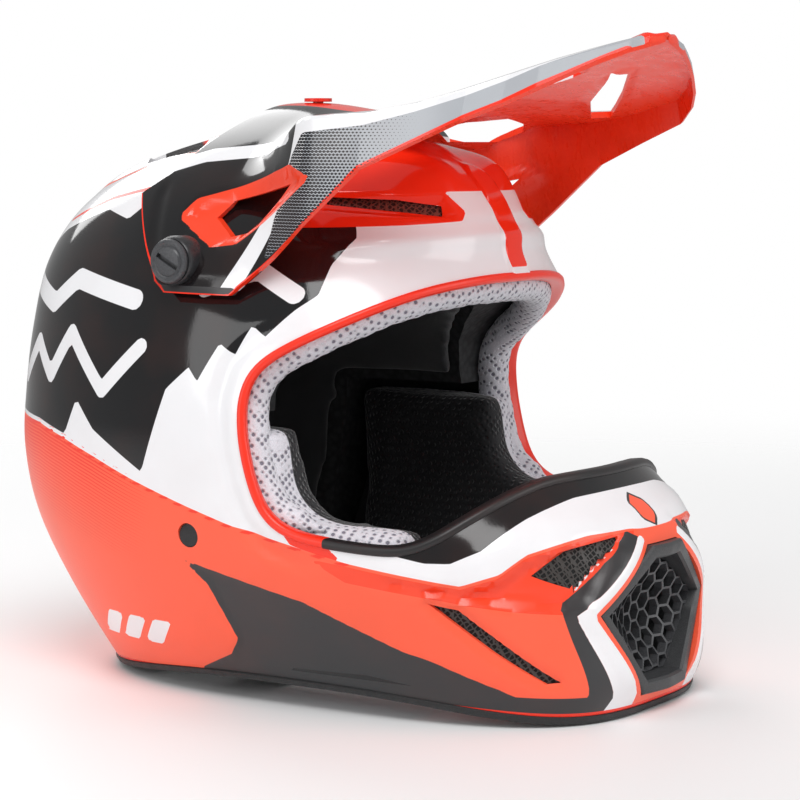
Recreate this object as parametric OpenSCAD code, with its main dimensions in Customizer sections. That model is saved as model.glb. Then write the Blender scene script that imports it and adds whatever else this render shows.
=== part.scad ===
// Off-road motocross helmet: moulded shell, foam liner, soft padding, adjustable peak,
// chin strap with double rings, and vented chin bar.
// +Z up, front towards -Y, millimetres. The lowest rim is at z = 0.

/* [Shell] */
// Width of the outer shell across the ears
shell_width = 235; // [225:1:250]
// Length of the outer shell from chin to back
shell_length = 338; // [325:1:355]
// Height of the outer shell from its lower rim to the crown
shell_height = 261; // [252:1:275]
// Wall thickness of the outer shell
shell_wall = 4; // [3.5:0.1:4.6]
// Thickness of the foam liner at the sides
foam_side = 30; // [26:0.5:33]
// Thickness of the foam liner at the front and back
foam_front = 24; // [20:0.5:27]
// Thickness of the soft comfort liner
comfort_thick = 6; // [4:0.5:8]

/* [Peak] */
// Sheet thickness of the peak
peak_wall = 3; // [2.5:0.1:3.5]
// Gap between the peak's hood and the shell
peak_gap = 4.5; // [4:0.1:6]
// How far the peak reaches in front of its pivot
peak_reach = 184; // [172:1:190]
// Radius of the peak screw heads
screw_head_r = 10; // [8:0.5:11]

/* [Openings] */
// Half width of the chin vent frame
vent_half_w = 48; // [44:0.5:50]
// Height of the chin vent frame
vent_height = 66; // [60:1:70]
// Radius of the strap bolt holes in the shell
plug_hole_r = 5.5; // [5:0.25:7]

/* [Chin strap] */
// Width of the strap webbing
strap_w = 24; // [20:1:26]
// Thickness of the strap webbing
strap_t = 2; // [1.6:0.1:2.2]

/* [Hidden] */
$fn = 36;
kx = shell_width/238;
ky = shell_length/338;
kz = shell_height/261;
SC = [kz, kx, ky, ky, ky, 1, 1];
// Section stations of the shell: height, half width, widest point, front, back, roundness front and back
ST = [ for (r = [
  [0, 89, -13, -161, 118, 3.2, 2.25],
  [12, 96, -12, -167, 125, 3, 2.25],
  [40, 106, -10, -168, 144, 2.7, 2.25],
  [75, 116, -6, -165, 162, 2.4, 2.25],
  [105, 119, 0, -138, 168, 2.2, 2.25],
  [135, 119, 7, -120, 165, 2.2, 2.25],
  [165, 115, 14, -106, 160, 2.2, 2.25],
  [195, 103, 20, -90, 154, 2.2, 2.25],
  [220, 86, 24, -81, 138, 2.15, 2.2],
  [240, 64, 26, -62, 105, 2.1, 2.15],
  [253, 37, 26, -28, 64, 2.05, 2.1],
  [261, 0, 24, 24, 24, 2, 2]]) [ for (k = [0:6]) r[k]*SC[k] ] ];
H = shell_height;
// Arch of the lower edge under each ear
ear_rise = 10;
// Height where the shell's lower edge starts, and the facet counts of its body
base_z = 2;
around = 52;
levels = 22;
top_s = 0.985;
NS = len(ST);
SS = [ for (r = ST) 1 - sqrt(max(0, 1 - r[0]/H)) ];
function slope(i) = (ST[i+1] - ST[i])/(SS[i+1] - SS[i]);
TG = [ for (i = [0:NS-1]) i == 0 ? slope(0) : i == NS-1 ? slope(NS-2) :
  let (a = SS[i]-SS[i-1], b = SS[i+1]-SS[i]) (slope(i-1)*b + slope(i)*a)/(a + b) ];
function seg(s, i = 0) = (i >= NS-2 || s < SS[i+1]) ? i : seg(s, i+1);
function station(s) = let (i = seg(s), h = SS[i+1]-SS[i], u = min(1, max(0, (s-SS[i])/h)), v = u*u, w = v*u)
  (2*w-3*v+1)*ST[i] + (w-2*v+u)*h*TG[i] + (3*v-2*w)*ST[i+1] + (w-v)*h*TG[i+1];
function s_of(z) = 1 - sqrt(max(0, 1 - z/H));
function z_of(s, top) = top*(1 - (1-s)*(1-s));
function pw(v, p) = pow(abs(v), p)*sign(v);

// One closed ring of the shell set in by os at the sides, ol at the ends and ot at the top
function ring(s, os, ol, ot, n) = let (k = station(s), w = max(0.01, k[1]-os), f = max(0.01, k[2]-k[3]-ol),
    r = max(0.01, k[4]-k[2]-ol))
  [ for (j = [0:n-1]) let (a = 360*j/n, c = cos(a), q = sin(a), e = 2/(c > 0 ? k[6] : k[5]), z = z_of(s, H-ot))
    [w*pw(q, e), k[2] + (c > 0 ? r : f)*pw(c, e), z + ear_rise*pow(q, 4)*pow(max(0, 1-z/70), 1.5)] ];
function flat(l) = [ for (a = l) for (b = a) b ];

// Closed body through rings of equal count, with a fan to a point at each end
module loft(rings, low, high) {
  n = len(rings[0]);
  m = len(rings);
  pts = concat(flat(rings), [low, high]);
  polyhedron(pts, concat(
    [ for (i = [0:m-2]) for (j = [0:n-1]) let (a = i*n+j, b = i*n+(j+1)%n) each [[a, b, a+n], [b, b+n, a+n]] ],
    [ for (j = [0:n-1]) [(j+1)%n, j, m*n] ],
    [ for (j = [0:n-1]) [(m-1)*n+j, (m-1)*n+(j+1)%n, m*n+1] ]));
}
// Solid with the shell's form set in by the given amounts, from height z0 up; deep adds a skirt below
module form(os, ol, ot, z0 = base_z, deep = 0, n = around, m = levels) {
  s0 = s_of(z0);
  r = [ for (i = [0:m-1]) ring(s0 + (top_s-s0)*i/(m-1), os, ol, ot, n) ];
  k = station(1);
  skirt = [ for (p = r[0]) [p[0], p[1], -deep] ];
  if (deep > 0) loft(concat([skirt], r), [0, 0, -deep], [0, k[2], H-ot]);
  else loft(r, [0, 0, z0+3], [0, k[2], H-ot]);
}
// Layer between two depths below the shell's surface
module layer(a, b) {
  difference() {
    form(a, a, a);
    form(b, b, b, base_z, 15);
  }
}
// Half length of cutting bodies that pass right through
far = 200;
// Prism across the helmet from an outline in the side view
module side_prism(p, d = 0, x0 = -far, x1 = far) {
  translate([x0, 0, 0]) rotate([90, 0, 90]) linear_extrude(x1-x0) offset(delta = d) polygon(p);
}
module side_cyl(y, z, r, x0, x1, n = 36) {
  translate([x0, y, z]) rotate([0, 90, 0]) cylinder(r = r, h = x1-x0, $fn = n);
}
// Boolean solids with free-form faces are made in one step
module solid() { resize([0, 0, 0]) children(); }
module mirrored(side) {
  if (side > 0) children();
  else mirror([1, 0, 0]) children();
}
function yz(l) = [ for (p = l) [p[0]*ky, p[1]*kz] ];

// Half width of the shell at a side-view point
function half_w(y, z) = let (k = station(s_of(min(max(z, 0), H-0.01))), c = y > k[2],
    q = abs(y-k[2])/(c ? k[4]-k[2] : k[2]-k[3]), e = c ? k[6] : k[5])
  q >= 1 ? 0 : k[1]*pow(1-pow(q, e), 1/e);

// Eye port outline, side view
PORT = yz([[-145, 190], [-105, 191], [-93, 191], [-78, 185], [-58, 173.5], [-40, 163.5], [-29, 156.5],
  [-22.5, 149], [-19.5, 138], [-20.5, 122], [-24.5, 105], [-29.5, 92.5], [-37, 84.5], [-49, 80], [-68, 77.5], [-88, 76],
  [-98, 77], [-108, 82], [-118, 90.5], [-126, 98], [-132, 103], [-138, 104], [-195, 104]]);
// Openings in the chin bar and brow, side view
TRIP = yz([[-142.5, 67], [-151, 62.8], [-158, 78.5]]);
SLIT = yz([[-103, 54.8], [-115, 52.3], [-150, 20.5], [-145, 20], [-127, 34]]);
BROW = yz([[-29, 226], [-57, 224.5], [-71, 221.5], [-72.5, 217], [-62, 218.8], [-41, 221.5], [-31, 222.5]]);
VENT = [ for (p = [[vent_half_w, 0.59], [13.5, 1], [-13.5, 1], [-vent_half_w, 0.59], [-19.5, 0], [19.5, 0]])
  [p[0], (9 + p[1]*vent_height)*kz] ];
REARV = [[-30, 88], [30, 88], [24, 110], [-24, 110]];
CROWNV = [[30, 57], [50, 53], [44, 87], [34, 91]];
STRAP_Y = 10*ky;
STRAP_Z = 77.5*kz;
PIV_Y = 19*ky;
PIV_Z = 198*kz;
boss_in = half_w(PIV_Y, PIV_Z-12) + 2.5;
boss_out = boss_in + 5;
clr = 0.15;
// Levels that part the crown padding from the cheeks, and the middle of the chin vent
crown_low = 38;
vent_mid = (9+0.5*vent_height)*kz;
pivot_hole_r = 7.2;
centre_hole_r = 4.2;

module vent_prism(d, y0, y1) {
  translate([0, y1, 0]) rotate([90, 0, 0]) linear_extrude(y1-y0) offset(delta = d) polygon(VENT);
}
module rear_prism(d) {
  translate([0, 220, 0]) rotate([90, 0, 0]) linear_extrude(120) offset(delta = d) polygon(REARV);
}
module crown_prism(d) {
  for (s = [-1, 1]) mirrored(s)
    translate([0, 0, 200]) linear_extrude(90) offset(delta = d) polygon(CROWNV);
}

module outer_shell() color([0.1, 0.1, 0.1]) solid() difference() {
  form(0, 0, 0);
  form(shell_wall, shell_wall, shell_wall, base_z, 15);
  side_prism(PORT, clr);
  side_prism(SLIT);
  side_prism(BROW);
  side_prism(TRIP);
  vent_prism(2*clr, -far, -110);
  rear_prism(0);
  crown_prism(0);
  for (s = [-1, 1]) mirrored(s) {
    side_cyl(STRAP_Y, STRAP_Z, plug_hole_r, 80, 140, 24);
    side_cyl(PIV_Y, PIV_Z, pivot_hole_r, 80, 140, 24);
  }
  translate([0, PIV_Y, H-20]) cylinder(r = centre_hole_r, h = 40, $fn = 24);
}

foam_out = shell_wall + 0.6;
module cavity(extra, z0 = 2) {
  form(foam_out+foam_side+extra, foam_out+foam_front+extra, foam_out+foam_side+extra, z0, 60, 36, 14);
}
module crown_foam() color([0.16, 0.16, 0.17]) solid() difference() {
  form(foam_out, foam_out, foam_out);
  cavity(0, 6);
  side_prism(PORT, 8);
  side_prism(yz([[-300, -50], [300, -50], [300, crown_low], [65, crown_low], [55, 131], [-300, 131]]));
  for (s = [-1, 1]) mirrored(s) side_cyl(PIV_Y, PIV_Z, 9, 84, 130, 24);
}
module chin_foam() color([0.16, 0.16, 0.17]) solid() difference() {
  form(foam_out, foam_out, foam_out);
  form(foam_out+13, foam_out+13, 5, 12, 30, 40, 16);
  side_prism(PORT, 8);
  side_prism(yz([[-300, -50], [300, -50], [300, 300], [-300, 300], [-300, 95], [-97, 95], [-97, 20],
    [-130, 12], [-300, 12]]));
  vent_prism(1, -far, -110);
}
module comfort_liner() color([0.14, 0.14, 0.15]) solid() difference() {
  cavity(0.6, 6);
  cavity(0.6+comfort_thick, 6);
  side_prism(PORT, 10);
  side_prism(yz([[-300, -80], [300, -80], [300, crown_low+6], [69, crown_low+6], [58, 136], [-300, 136]]));
}
module brow_roll() color([0.85, 0.85, 0.88]) solid() intersection() {
  difference() {
    form(6, 6, 6, 60, 0, around, 20);
    form(22, 20, 20, 60, 30, around, 20);
  }
  difference() {
    side_prism(PORT, 7.4);
    side_prism(PORT, -6);
    side_prism([[-300, -50], [300, -50], [300, 134*kz], [-300, 134*kz]]);
  }
}
module neck_roll() color([0.2, 0.2, 0.21]) solid() difference() {
  form(6.2, 6.2, 6.2, 1);
  form(26, 26, 26, 1, 20, 40, 16);
  side_prism([[-300, -50], [57*ky, -50], [57*ky, 300], [-300, 300]]);
  side_prism([[-300, 35*kz], [300, 35*kz], [300, 300], [-300, 300]]);
}
// Depth of the cheek pads' backs below the shell's surface, which leaves room for the webbing
pad_out = 11.4;
STUDS = yz([[35, 60], [39, 108]]);
stud_r = 5;
CHEEK = yz([[-91, 16], [31, 20], [49, 40], [51, 126], [-7, 126], [-65, 126], [-89, 110]]);
module cheek_pad(side) color([0.85, 0.85, 0.88]) solid() mirrored(side) difference() {
  intersection() {
    difference() {
      form(pad_out, 9, 9, 8);
      form(37, 9, 30, 8, 30, 40, 16);
    }
    side_prism(CHEEK, 0, 10, far);
  }
  side_prism(PORT, -7);
  side_cyl(STRAP_Y, STRAP_Z, 10, 98, 140, 24);
  for (p = STUDS) side_cyl(p[0], p[1], stud_r+clr, half_w(p[0], p[1])-14, 140, 24);
}
module cheek_pad_left() cheek_pad(1);
module cheek_pad_right() cheek_pad(-1);
module cheek_pad_studs() color([0.3, 0.3, 0.32])
  for (s = [-1, 1]) mirrored(s)
    for (p = STUDS)
      side_cyl(p[0], p[1], stud_r, half_w(p[0], p[1])-13.8, half_w(p[0], p[1])-shell_wall-2.4);

module eye_port_trim() color([1, 0.25, 0.05]) solid() intersection() {
  difference() {
    form(-0.9, -0.9, -0.9, 60);
    form(5.4, 5.4, 5.4, 60, 15);
  }
  difference() {
    side_prism(PORT, -clr);
    side_prism(PORT, -2.6);
  }
}
// Height of the second ring of the shell's body, and how far the rubber edge climbs its outside
next_s = s_of(base_z) + (top_s-s_of(base_z))/(levels-1);
rim_height = 9;
rim_lip = 1.4;
module lower_rim_trim() color([0.05, 0.05, 0.05]) solid() difference() {
  rim(-1, -0.8, rim_height);
  rim(shell_wall+rim_lip, -6, 30);
  difference() {
    rim(-clr, base_z-clr, rim_height+2);
    rim(shell_wall+0.35, -6, 30);
  }
  translate([-far, -far, -20]) cube([2*far, 2*far, 20]);
}
// Low band lying on the lowest facets of the shell between two heights
module rim(o, z0, z1) {
  a = ring(s_of(base_z), o, o, 0, around);
  b = ring(next_s, o, o, 0, around);
  h = z_of(next_s, H) - base_z;
  loft([ for (z = [z0, z1]) [ for (j = [0:around-1]) a[j] + (b[j]-a[j])*(z-base_z)/h ] ],
    [0, 0, z0], [0, 0, z1]);
}

// Peak form: stations along Y with half width and height of the lower edge, half width and height of the
// shoulder, and height of the centre line
reach = peak_reach/184;
PK = [ for (r = [
  [-9, 112, 183, 104, 262, 265],
  [-50, 110, 217.5, 105, 261, 264],
  [-75, 108.7, 239, 104, 262, 266],
  [-99, 105, 249.5, 101, 266, 272],
  [-122, 102, 259.5, 97, 272, 280],
  [-134, 88.5, 266.3, 84, 277.5, 285],
  [-142, 75, 272.5, 71, 282, 288.5],
  [-149, 59, 279, 56, 286, 291.5],
  [-155, 43, 285, 40, 290, 294],
  [-160, 28, 289.5, 26, 293, 296],
  [-163.5, 12, 292.5, 11, 295, 297],
  [-165, 3, 293.5, 2.6, 296, 297.4]])
  [19*ky + (r[0]-19)*reach*ky, r[1]*kx, r[2]*kz, r[3]*kx, r[4]*kz, r[5]*kz] ];
function pseg(y, i = 0) = (i >= len(PK)-2 || y > PK[i+1][0]) ? i : pseg(y, i+1);
function pstation(y) = let (i = pseg(y), u = min(1, max(0, (PK[i][0]-y)/(PK[i][0]-PK[i+1][0]))))
  PK[i]*(1-u) + PK[i+1]*u;
// Distance from the hood's axis out to the shell in a direction
hood_z = 185*kz;
function in_shell(y, a, m) = let (z = hood_z + m*cos(a)) z < H && m*abs(sin(a)) < half_w(y, z);
function shell_r(y, a, lo = 0, hi = far, n = 16) = n == 0 ? lo : let (m = (lo+hi)/2)
  in_shell(y, a, m) ? shell_r(y, a, m, hi, n-1) : shell_r(y, a, lo, m, n-1);
function smooth(t) = let (u = min(1, max(0, t))) u*u*(3-2*u);
// Steps across half the peak, and the share of them above the shoulder fold
UN = 12;
fold = 0.7;
// Point of the peak's outer face: u from 0 at the centre line to 1 at the lower edge
function peak_point(y, u) = let (k = pstation(y), w = smooth((10*ky-y)/(60*ky)),
    fe = atan2(k[3], k[4]-hood_z), fb = atan2(k[1], k[2]-hood_z), f = u/fold, g = (u-fold)/(1-fold),
    a = u < fold ? fe*f : fe + (fb-fe)*g,
    r = w >= 1 ? 0 : shell_r(y, a) + peak_gap + peak_wall,
    box = u < fold ? [k[3]*f, k[5] + (k[4]-k[5])*pow(f, 3)] : [k[3] + (k[1]-k[3])*g, k[4] + (k[2]-k[4])*g])
  (1-w)*[r*sin(a), hood_z + r*cos(a)] + w*box;
function half_sec(y) = [ for (i = [0:UN]) peak_point(y, i/UN) ];
function unit(v) = v/max(1e-6, norm(v));
function inward(l, d) = [ for (i = [0:len(l)-1]) let (t = unit(l[min(i+1, len(l)-1)] - l[max(i-1, 0)]))
  [max(0, l[i][0] + t[1]*d), l[i][1] - t[0]*d] ];
// Closed section: outer face from side to side, then the inner face back
function section(y) = let (o = half_sec(y), d = min(peak_wall, 0.45*o[UN-4][0]+0.4), q = inward(o, d), n = UN)
  concat([ for (i = [0:n]) [-o[n-i][0], y, o[n-i][1]] ], [ for (i = [1:n]) [o[i][0], y, o[i][1]] ],
    [ for (i = [0:n]) [q[n-i][0], y, q[n-i][1]] ], [ for (i = [1:n]) [-q[i][0], y, q[i][1]] ]);
module peak_sheet() {
  ys = concat([ for (i = [0:9]) (63 - i*12.2)*ky ],
    [ for (i = [2:len(PK)-1]) each [(PK[i-1][0]+PK[i][0])/2, PK[i][0]] ]);
  yy = [ for (i = [0:len(ys)-1]) if (i == 0 || ys[i] < min([ for (j = [0:i-1]) ys[j] ]) - 0.5) ys[i] ];
  r = [ for (y = yy) section(y) ];
  n = len(r[0]);
  m = len(r);
  h = 2*UN;
  polyhedron(flat(r), concat(
    [ for (i = [0:m-2]) for (j = [0:n-1]) let (p = i*n+j, q = i*n+(j+1)%n) each [[p, q, p+n], [q, q+n, p+n]] ],
    [ for (j = [0:h-1]) each [[j, n-1-j, j+1], [j+1, n-1-j, n-2-j]] ],
    [ for (j = [0:h-1]) let (o = (m-1)*n) each [[o+j, o+j+1, o+n-1-j], [o+j+1, o+n-2-j, o+n-1-j]] ]));
}
KEEP = yz([[-305, 330], [31, 330], [32, 262], [39, 246], [45, 236], [57, 227], [30, 189], [23, 184.2],
  [-10, 183.6], [-305, 183.6]]);
WINDOW = yz([[28, 217], [22, 225], [-36, 240.5], [-51, 235], [-8, 205.5], [5, 204]]);
// Openings in the peak's top, plan view, one side
GAP_FRONT = [[12, -131], [24, -134], [58, -112], [89, -89], [81, -83], [44, -103]];
GAP_REAR = [[32, -66], [74, -50], [94, -38], [86, -20], [66, -13], [46, -18], [36, -40]];
module peak() color([1, 0.28, 0.1]) solid() difference() {
  union() {
    intersection() {
      peak_sheet();
      side_prism(KEEP);
    }
    for (s = [-1, 1]) mirrored(s) side_cyl(PIV_Y, PIV_Z, 11.5, boss_in, boss_out);
  }
  side_prism(WINDOW);
  for (s = [-1, 1]) mirrored(s) {
    side_cyl(PIV_Y, PIV_Z, 4.1, 80, 150);
    for (gap = [GAP_FRONT, GAP_REAR]) translate([0, 0, 250]) linear_extrude(60)
      polygon([ for (p = gap) [p[0]*kx, (19 + (p[1]-19)*reach)*ky] ]);
  }
  hull() for (d = [-9, 9]) translate([0, PIV_Y+d, H-5]) cylinder(r = 3.2, h = 40, $fn = 24);
}
module peak_side_screw(side) color([0.2, 0.2, 0.22]) mirrored(side) difference() {
  union() {
    side_cyl(PIV_Y, PIV_Z, screw_head_r, boss_out+0.3, boss_out+3.3);
    side_cyl(PIV_Y, PIV_Z, 4.02, boss_in-0.6, boss_out+1);
    side_cyl(PIV_Y, PIV_Z, 3, boss_in-14, boss_in);
  }
  translate([boss_out+2, PIV_Y-7, PIV_Z-1.1]) cube([4, 14, 2.2]);
}
module peak_side_screw_left() peak_side_screw(1);
module peak_side_screw_right() peak_side_screw(-1);
module peak_inserts() color([0.7, 0.6, 0.3]) {
  for (s = [-1, 1]) mirrored(s) difference() {
    side_cyl(PIV_Y, PIV_Z, 7, boss_in-15, half_w(PIV_Y, PIV_Z+7)+1);
    side_cyl(PIV_Y, PIV_Z, 3.08, boss_in-14.3, boss_in+1);
  }
  difference() {
    translate([0, PIV_Y, H-shell_wall+0.2]) cylinder(r = 4, h = shell_wall+peak_gap-0.8);
    translate([0, PIV_Y, H-shell_wall+1]) cylinder(r = 2.5, h = 20);
  }
}
module peak_centre_screw() color([0.2, 0.2, 0.22]) difference() {
  union() {
    translate([0, PIV_Y, H-shell_wall+1.5]) cylinder(r = 2.5, h = shell_wall+peak_gap+peak_wall);
    translate([0, PIV_Y, H+peak_gap+peak_wall+0.4]) cylinder(r = 6.5, h = 1.6);
  }
  translate([-5, PIV_Y-0.9, H+peak_gap+peak_wall+1.2]) cube([10, 1.8, 3]);
}

// Chin vent frame: sloping ring with its corners set back along the chin
frame_w = 7;
frame_back = -143*ky;
function shrunk(t) = [ for (p = VENT) let (v = [p[0], p[1]-vent_mid]) v*(1-t/norm(v)) ];
function fy(p) = -170.5*ky + 9.5*pow(abs(p[0])/48, 1.4);
module mouth_vent_frame() color([0.15, 0.15, 0.16]) {
  o = shrunk(0.4);
  i = shrunk(frame_w);
  r = [ [ for (k = [0:5]) [o[k][0], fy(VENT[k]), vent_mid+o[k][1]] ],
        [ for (k = [0:5]) [i[k][0], fy(VENT[k])+1.5, vent_mid+i[k][1]] ],
        [ for (k = [0:5]) [i[k][0], frame_back, vent_mid+i[k][1]] ],
        [ for (k = [0:5]) [o[k][0], frame_back, vent_mid+o[k][1]] ] ];
  polyhedron(flat(r), [ for (q = [0:3]) for (k = [0:5])
    let (a = q*6+k, b = q*6+(k+1)%6, c = ((q+1)%4)*6, d = c+k, e = c+(k+1)%6)
    each [[a, d, b], [b, d, e]] ]);
}
module mouth_plate(y0, y1) {
  translate([0, y1*ky, vent_mid]) rotate([90, 0, 0]) linear_extrude((y1-y0)*ky) children();
}
// Honeycomb pitch across and up, and hole size
cell_x = 7.2;
cell_z = 8.3;
cell_r = 4.1;
module honeycomb() intersection() {
  offset(delta = -3) polygon(shrunk(frame_w));
  for (i = [-6:6]) for (j = [-5:5])
    translate([i*cell_x, j*cell_z + (i%2 == 0 ? 0 : cell_z/2)]) circle(r = cell_r, $fn = 6);
}
module mouth_vent_grille() color([0.08, 0.08, 0.08]) mouth_plate(-149, -145.5) difference() {
  offset(delta = -0.2) polygon(shrunk(frame_w));
  honeycomb();
}
module mouth_vent_filter() color([0.1, 0.1, 0.1]) mouth_plate(-144.8, -141)
  offset(delta = -0.4) polygon(shrunk(frame_w));

module skin_patch(p) solid() intersection() {
  layer(1.6, 3.4);
  side_prism(p, -0.25, 5, 200);
}
module chin_mesh_upper_left() color([0.1, 0.1, 0.1]) skin_patch(TRIP);
module chin_mesh_upper_right() color([0.1, 0.1, 0.1]) mirror([1, 0, 0]) skin_patch(TRIP);
module chin_mesh_lower_left() color([0.1, 0.1, 0.1]) skin_patch(SLIT);
module chin_mesh_lower_right() color([0.1, 0.1, 0.1]) mirror([1, 0, 0]) skin_patch(SLIT);
module brow_mesh_left() color([0.1, 0.1, 0.1]) skin_patch(BROW);
module brow_mesh_right() color([0.1, 0.1, 0.1]) mirror([1, 0, 0]) skin_patch(BROW);
module rear_vent_insert() color([0.1, 0.1, 0.1]) solid() difference() {
  intersection() {
    layer(0.8, 3.8);
    rear_prism(-0.25);
  }
  for (z = [92, 98, 104]) translate([-19, 100, z]) cube([38, 120, 2.6]);
}
module crown_vent_meshes() color([0.1, 0.1, 0.1]) solid() intersection() {
  layer(1.4, 3.6);
  crown_prism(-0.25);
}

side_x = half_w(STRAP_Y, STRAP_Z);
bolt_r = 3;
module strap_bolts() color([0.5, 0.5, 0.52]) for (s = [-1, 1]) mirrored(s) {
  side_cyl(STRAP_Y, STRAP_Z, bolt_r, side_x-shell_wall-strap_t-4.8, side_x-2.2);
  side_cyl(STRAP_Y, STRAP_Z, 7, side_x-shell_wall-strap_t-6.4, side_x-shell_wall-strap_t-4.4);
}
module bolt_covers() color([0.04, 0.04, 0.04]) for (s = [-1, 1]) mirrored(s)
  side_cyl(STRAP_Y, STRAP_Z, plug_hole_r-0.3, side_x-2, side_x-0.8);

// Webbing along a path in the XZ plane
module ribbon(path, w) {
  n = len(path);
  nr = [ for (i = [0:n-1]) let (t = unit(path[min(i+1, n-1)]-path[max(i-1, 0)])) [t[1], -t[0]] ];
  translate([0, STRAP_Y+w/2, 0]) rotate([90, 0, 0]) linear_extrude(w)
    polygon(concat([ for (i = [0:n-1]) path[i]+nr[i]*strap_t/2 ],
      [ for (i = [n-1:-1:0]) path[i]-nr[i]*strap_t/2 ]));
}
function side_path(z) = half_w(STRAP_Y, z) - shell_wall - 2.2 - strap_t/2;
TOP = STRAP_Z+11;
DOWN = [ for (z = [TOP, STRAP_Z, 60*kz, 44*kz, 32*kz]) [side_path(z)-0.4, z] ];
RING_X = 52;
module strap_short() color([0.03, 0.03, 0.03]) difference() {
  ribbon(concat(DOWN, [[side_path(20*kz)-5, 21*kz], [80, 13], [70, 11], [RING_X+4, 10.5]]), strap_w);
  side_cyl(STRAP_Y, STRAP_Z, bolt_r+0.4, 60, 140);
}
module strap_long() color([0.03, 0.03, 0.03]) mirror([1, 0, 0]) difference() {
  ribbon(concat(DOWN, [[side_path(20*kz)-5, 21*kz], [80, 12], [60, 7.5], [20, 5.2], [-12, 4.6]]), strap_w);
  side_cyl(STRAP_Y, STRAP_Z, bolt_r+0.4, 60, 140);
  translate([0, STRAP_Y, 0]) cylinder(r = 2.1, h = 20);
}
module strap_snap() color([0.6, 0.6, 0.62]) translate([0, STRAP_Y, 0]) {
  translate([0, 0, 6.2]) cylinder(r = 6, h = 1.8);
  translate([0, 0, 4]) cylinder(r = 2, h = 3);
}
// Strap ring: straight bar along Y with a half loop towards the middle
module ring_d(z) {
  l = strap_w+4;
  r = 2;
  translate([RING_X, STRAP_Y, z]) {
    rotate([90, 0, 0]) cylinder(r = r, h = l, center = true);
    for (s = [-1, 1]) translate([0, s*l/2, 0]) sphere(r = r);
    rotate([0, 0, 90]) rotate_extrude(angle = 180) translate([l/2, 0]) circle(r = r);
  }
}
module ring_upper() color([0.65, 0.65, 0.67]) ring_d(15);
module ring_lower() color([0.65, 0.65, 0.67]) ring_d(6);

outer_shell();
crown_foam();
chin_foam();
comfort_liner();
brow_roll();
neck_roll();
cheek_pad_left();
cheek_pad_right();
eye_port_trim();
lower_rim_trim();
peak();
peak_side_screw_left();
peak_side_screw_right();
peak_centre_screw();
peak_inserts();
mouth_vent_frame();
mouth_vent_grille();
mouth_vent_filter();
chin_mesh_upper_left();
chin_mesh_upper_right();
chin_mesh_lower_left();
chin_mesh_lower_right();
brow_mesh_left();
brow_mesh_right();
rear_vent_insert();
crown_vent_meshes();
strap_bolts();
bolt_covers();
strap_short();
strap_long();
ring_upper();
ring_lower();
strap_snap();
cheek_pad_studs();
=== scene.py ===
"""Looks for the off-road helmet: painted shell and peak, soft lining, vents, trims and studio."""
import math

import bmesh
import bpy
import numpy as np
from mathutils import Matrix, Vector


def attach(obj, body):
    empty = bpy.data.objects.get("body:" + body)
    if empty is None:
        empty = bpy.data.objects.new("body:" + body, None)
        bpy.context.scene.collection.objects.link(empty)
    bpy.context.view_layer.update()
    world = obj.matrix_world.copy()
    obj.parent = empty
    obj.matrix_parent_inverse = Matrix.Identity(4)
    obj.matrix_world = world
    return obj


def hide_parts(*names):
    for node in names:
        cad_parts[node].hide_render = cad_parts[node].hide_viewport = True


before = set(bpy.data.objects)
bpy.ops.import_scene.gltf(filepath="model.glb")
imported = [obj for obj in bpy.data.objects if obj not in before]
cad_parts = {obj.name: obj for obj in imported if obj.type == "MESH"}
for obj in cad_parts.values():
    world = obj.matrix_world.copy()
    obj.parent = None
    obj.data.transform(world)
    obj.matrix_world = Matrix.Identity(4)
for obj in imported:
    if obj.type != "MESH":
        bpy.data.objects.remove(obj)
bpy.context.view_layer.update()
MM = 0.001

# ---------------------------------------------------------------- sizes, in millimetres
KX = 235 / 238
H = 261.0
WALL = 4.0
EAR_RISE = 10.0
BASE_Z = 2.0
PIVOT = (19.0, 198.0)
BOLT = (10.0, 77.5)
PEAK_WALL = 3.0
PEAK_GAP = 4.5
VENT_MID = 42.0
HOOD_Z = 185.0
# Shell sections: height, half width, widest point, front, back, roundness front and back
STATIONS = np.array([
    [0, 89, -13, -161, 118, 3.2, 2.25], [12, 96, -12, -167, 125, 3, 2.25],
    [40, 106, -10, -168, 144, 2.7, 2.25], [75, 116, -6, -165, 162, 2.4, 2.25],
    [105, 119, 0, -138, 168, 2.2, 2.25], [135, 119, 7, -120, 165, 2.2, 2.25],
    [165, 115, 14, -106, 160, 2.2, 2.25], [195, 103, 20, -90, 154, 2.2, 2.25],
    [220, 86, 24, -81, 138, 2.15, 2.2], [240, 64, 26, -62, 105, 2.1, 2.15],
    [253, 37, 26, -28, 64, 2.05, 2.1], [261, 0, 24, 24, 24, 2, 2]], float)
STATIONS[:, 1] *= KX
# Openings, side view (y, z)
PORT = [(-195, 191), (-105, 191), (-93, 191), (-78, 185), (-58, 173.5), (-40, 163.5), (-29, 156.5),
        (-22.5, 149), (-19.5, 138), (-20.5, 122), (-24.5, 105), (-29.5, 92.5), (-37, 84.5), (-49, 80),
        (-68, 77.5), (-88, 76), (-98, 77), (-108, 82), (-118, 90.5), (-126, 98), (-132, 103),
        (-138, 104), (-195, 104)]
TRIANGLE = [(-139, 66.5), (-150.5, 60.3), (-159.5, 80.5), (-147, 76)]
SLIT = [(-103, 54.8), (-115, 52.3), (-150, 20.5), (-145, 20), (-127, 34)]
BROW = [(-29, 226), (-57, 224.5), (-71, 221.5), (-72.5, 217), (-62, 218.8), (-41, 221.5), (-31, 222.5)]
VENT = [(48, 47.9), (13.5, 75), (-13.5, 75), (-48, 47.9), (-19.5, 9), (19.5, 9)]
REAR_VENT = [(-30, 88), (30, 88), (24, 110), (-24, 110)]
CROWN_VENT = [(30, 57), (50, 53), (44, 87), (34, 91)]
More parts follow.
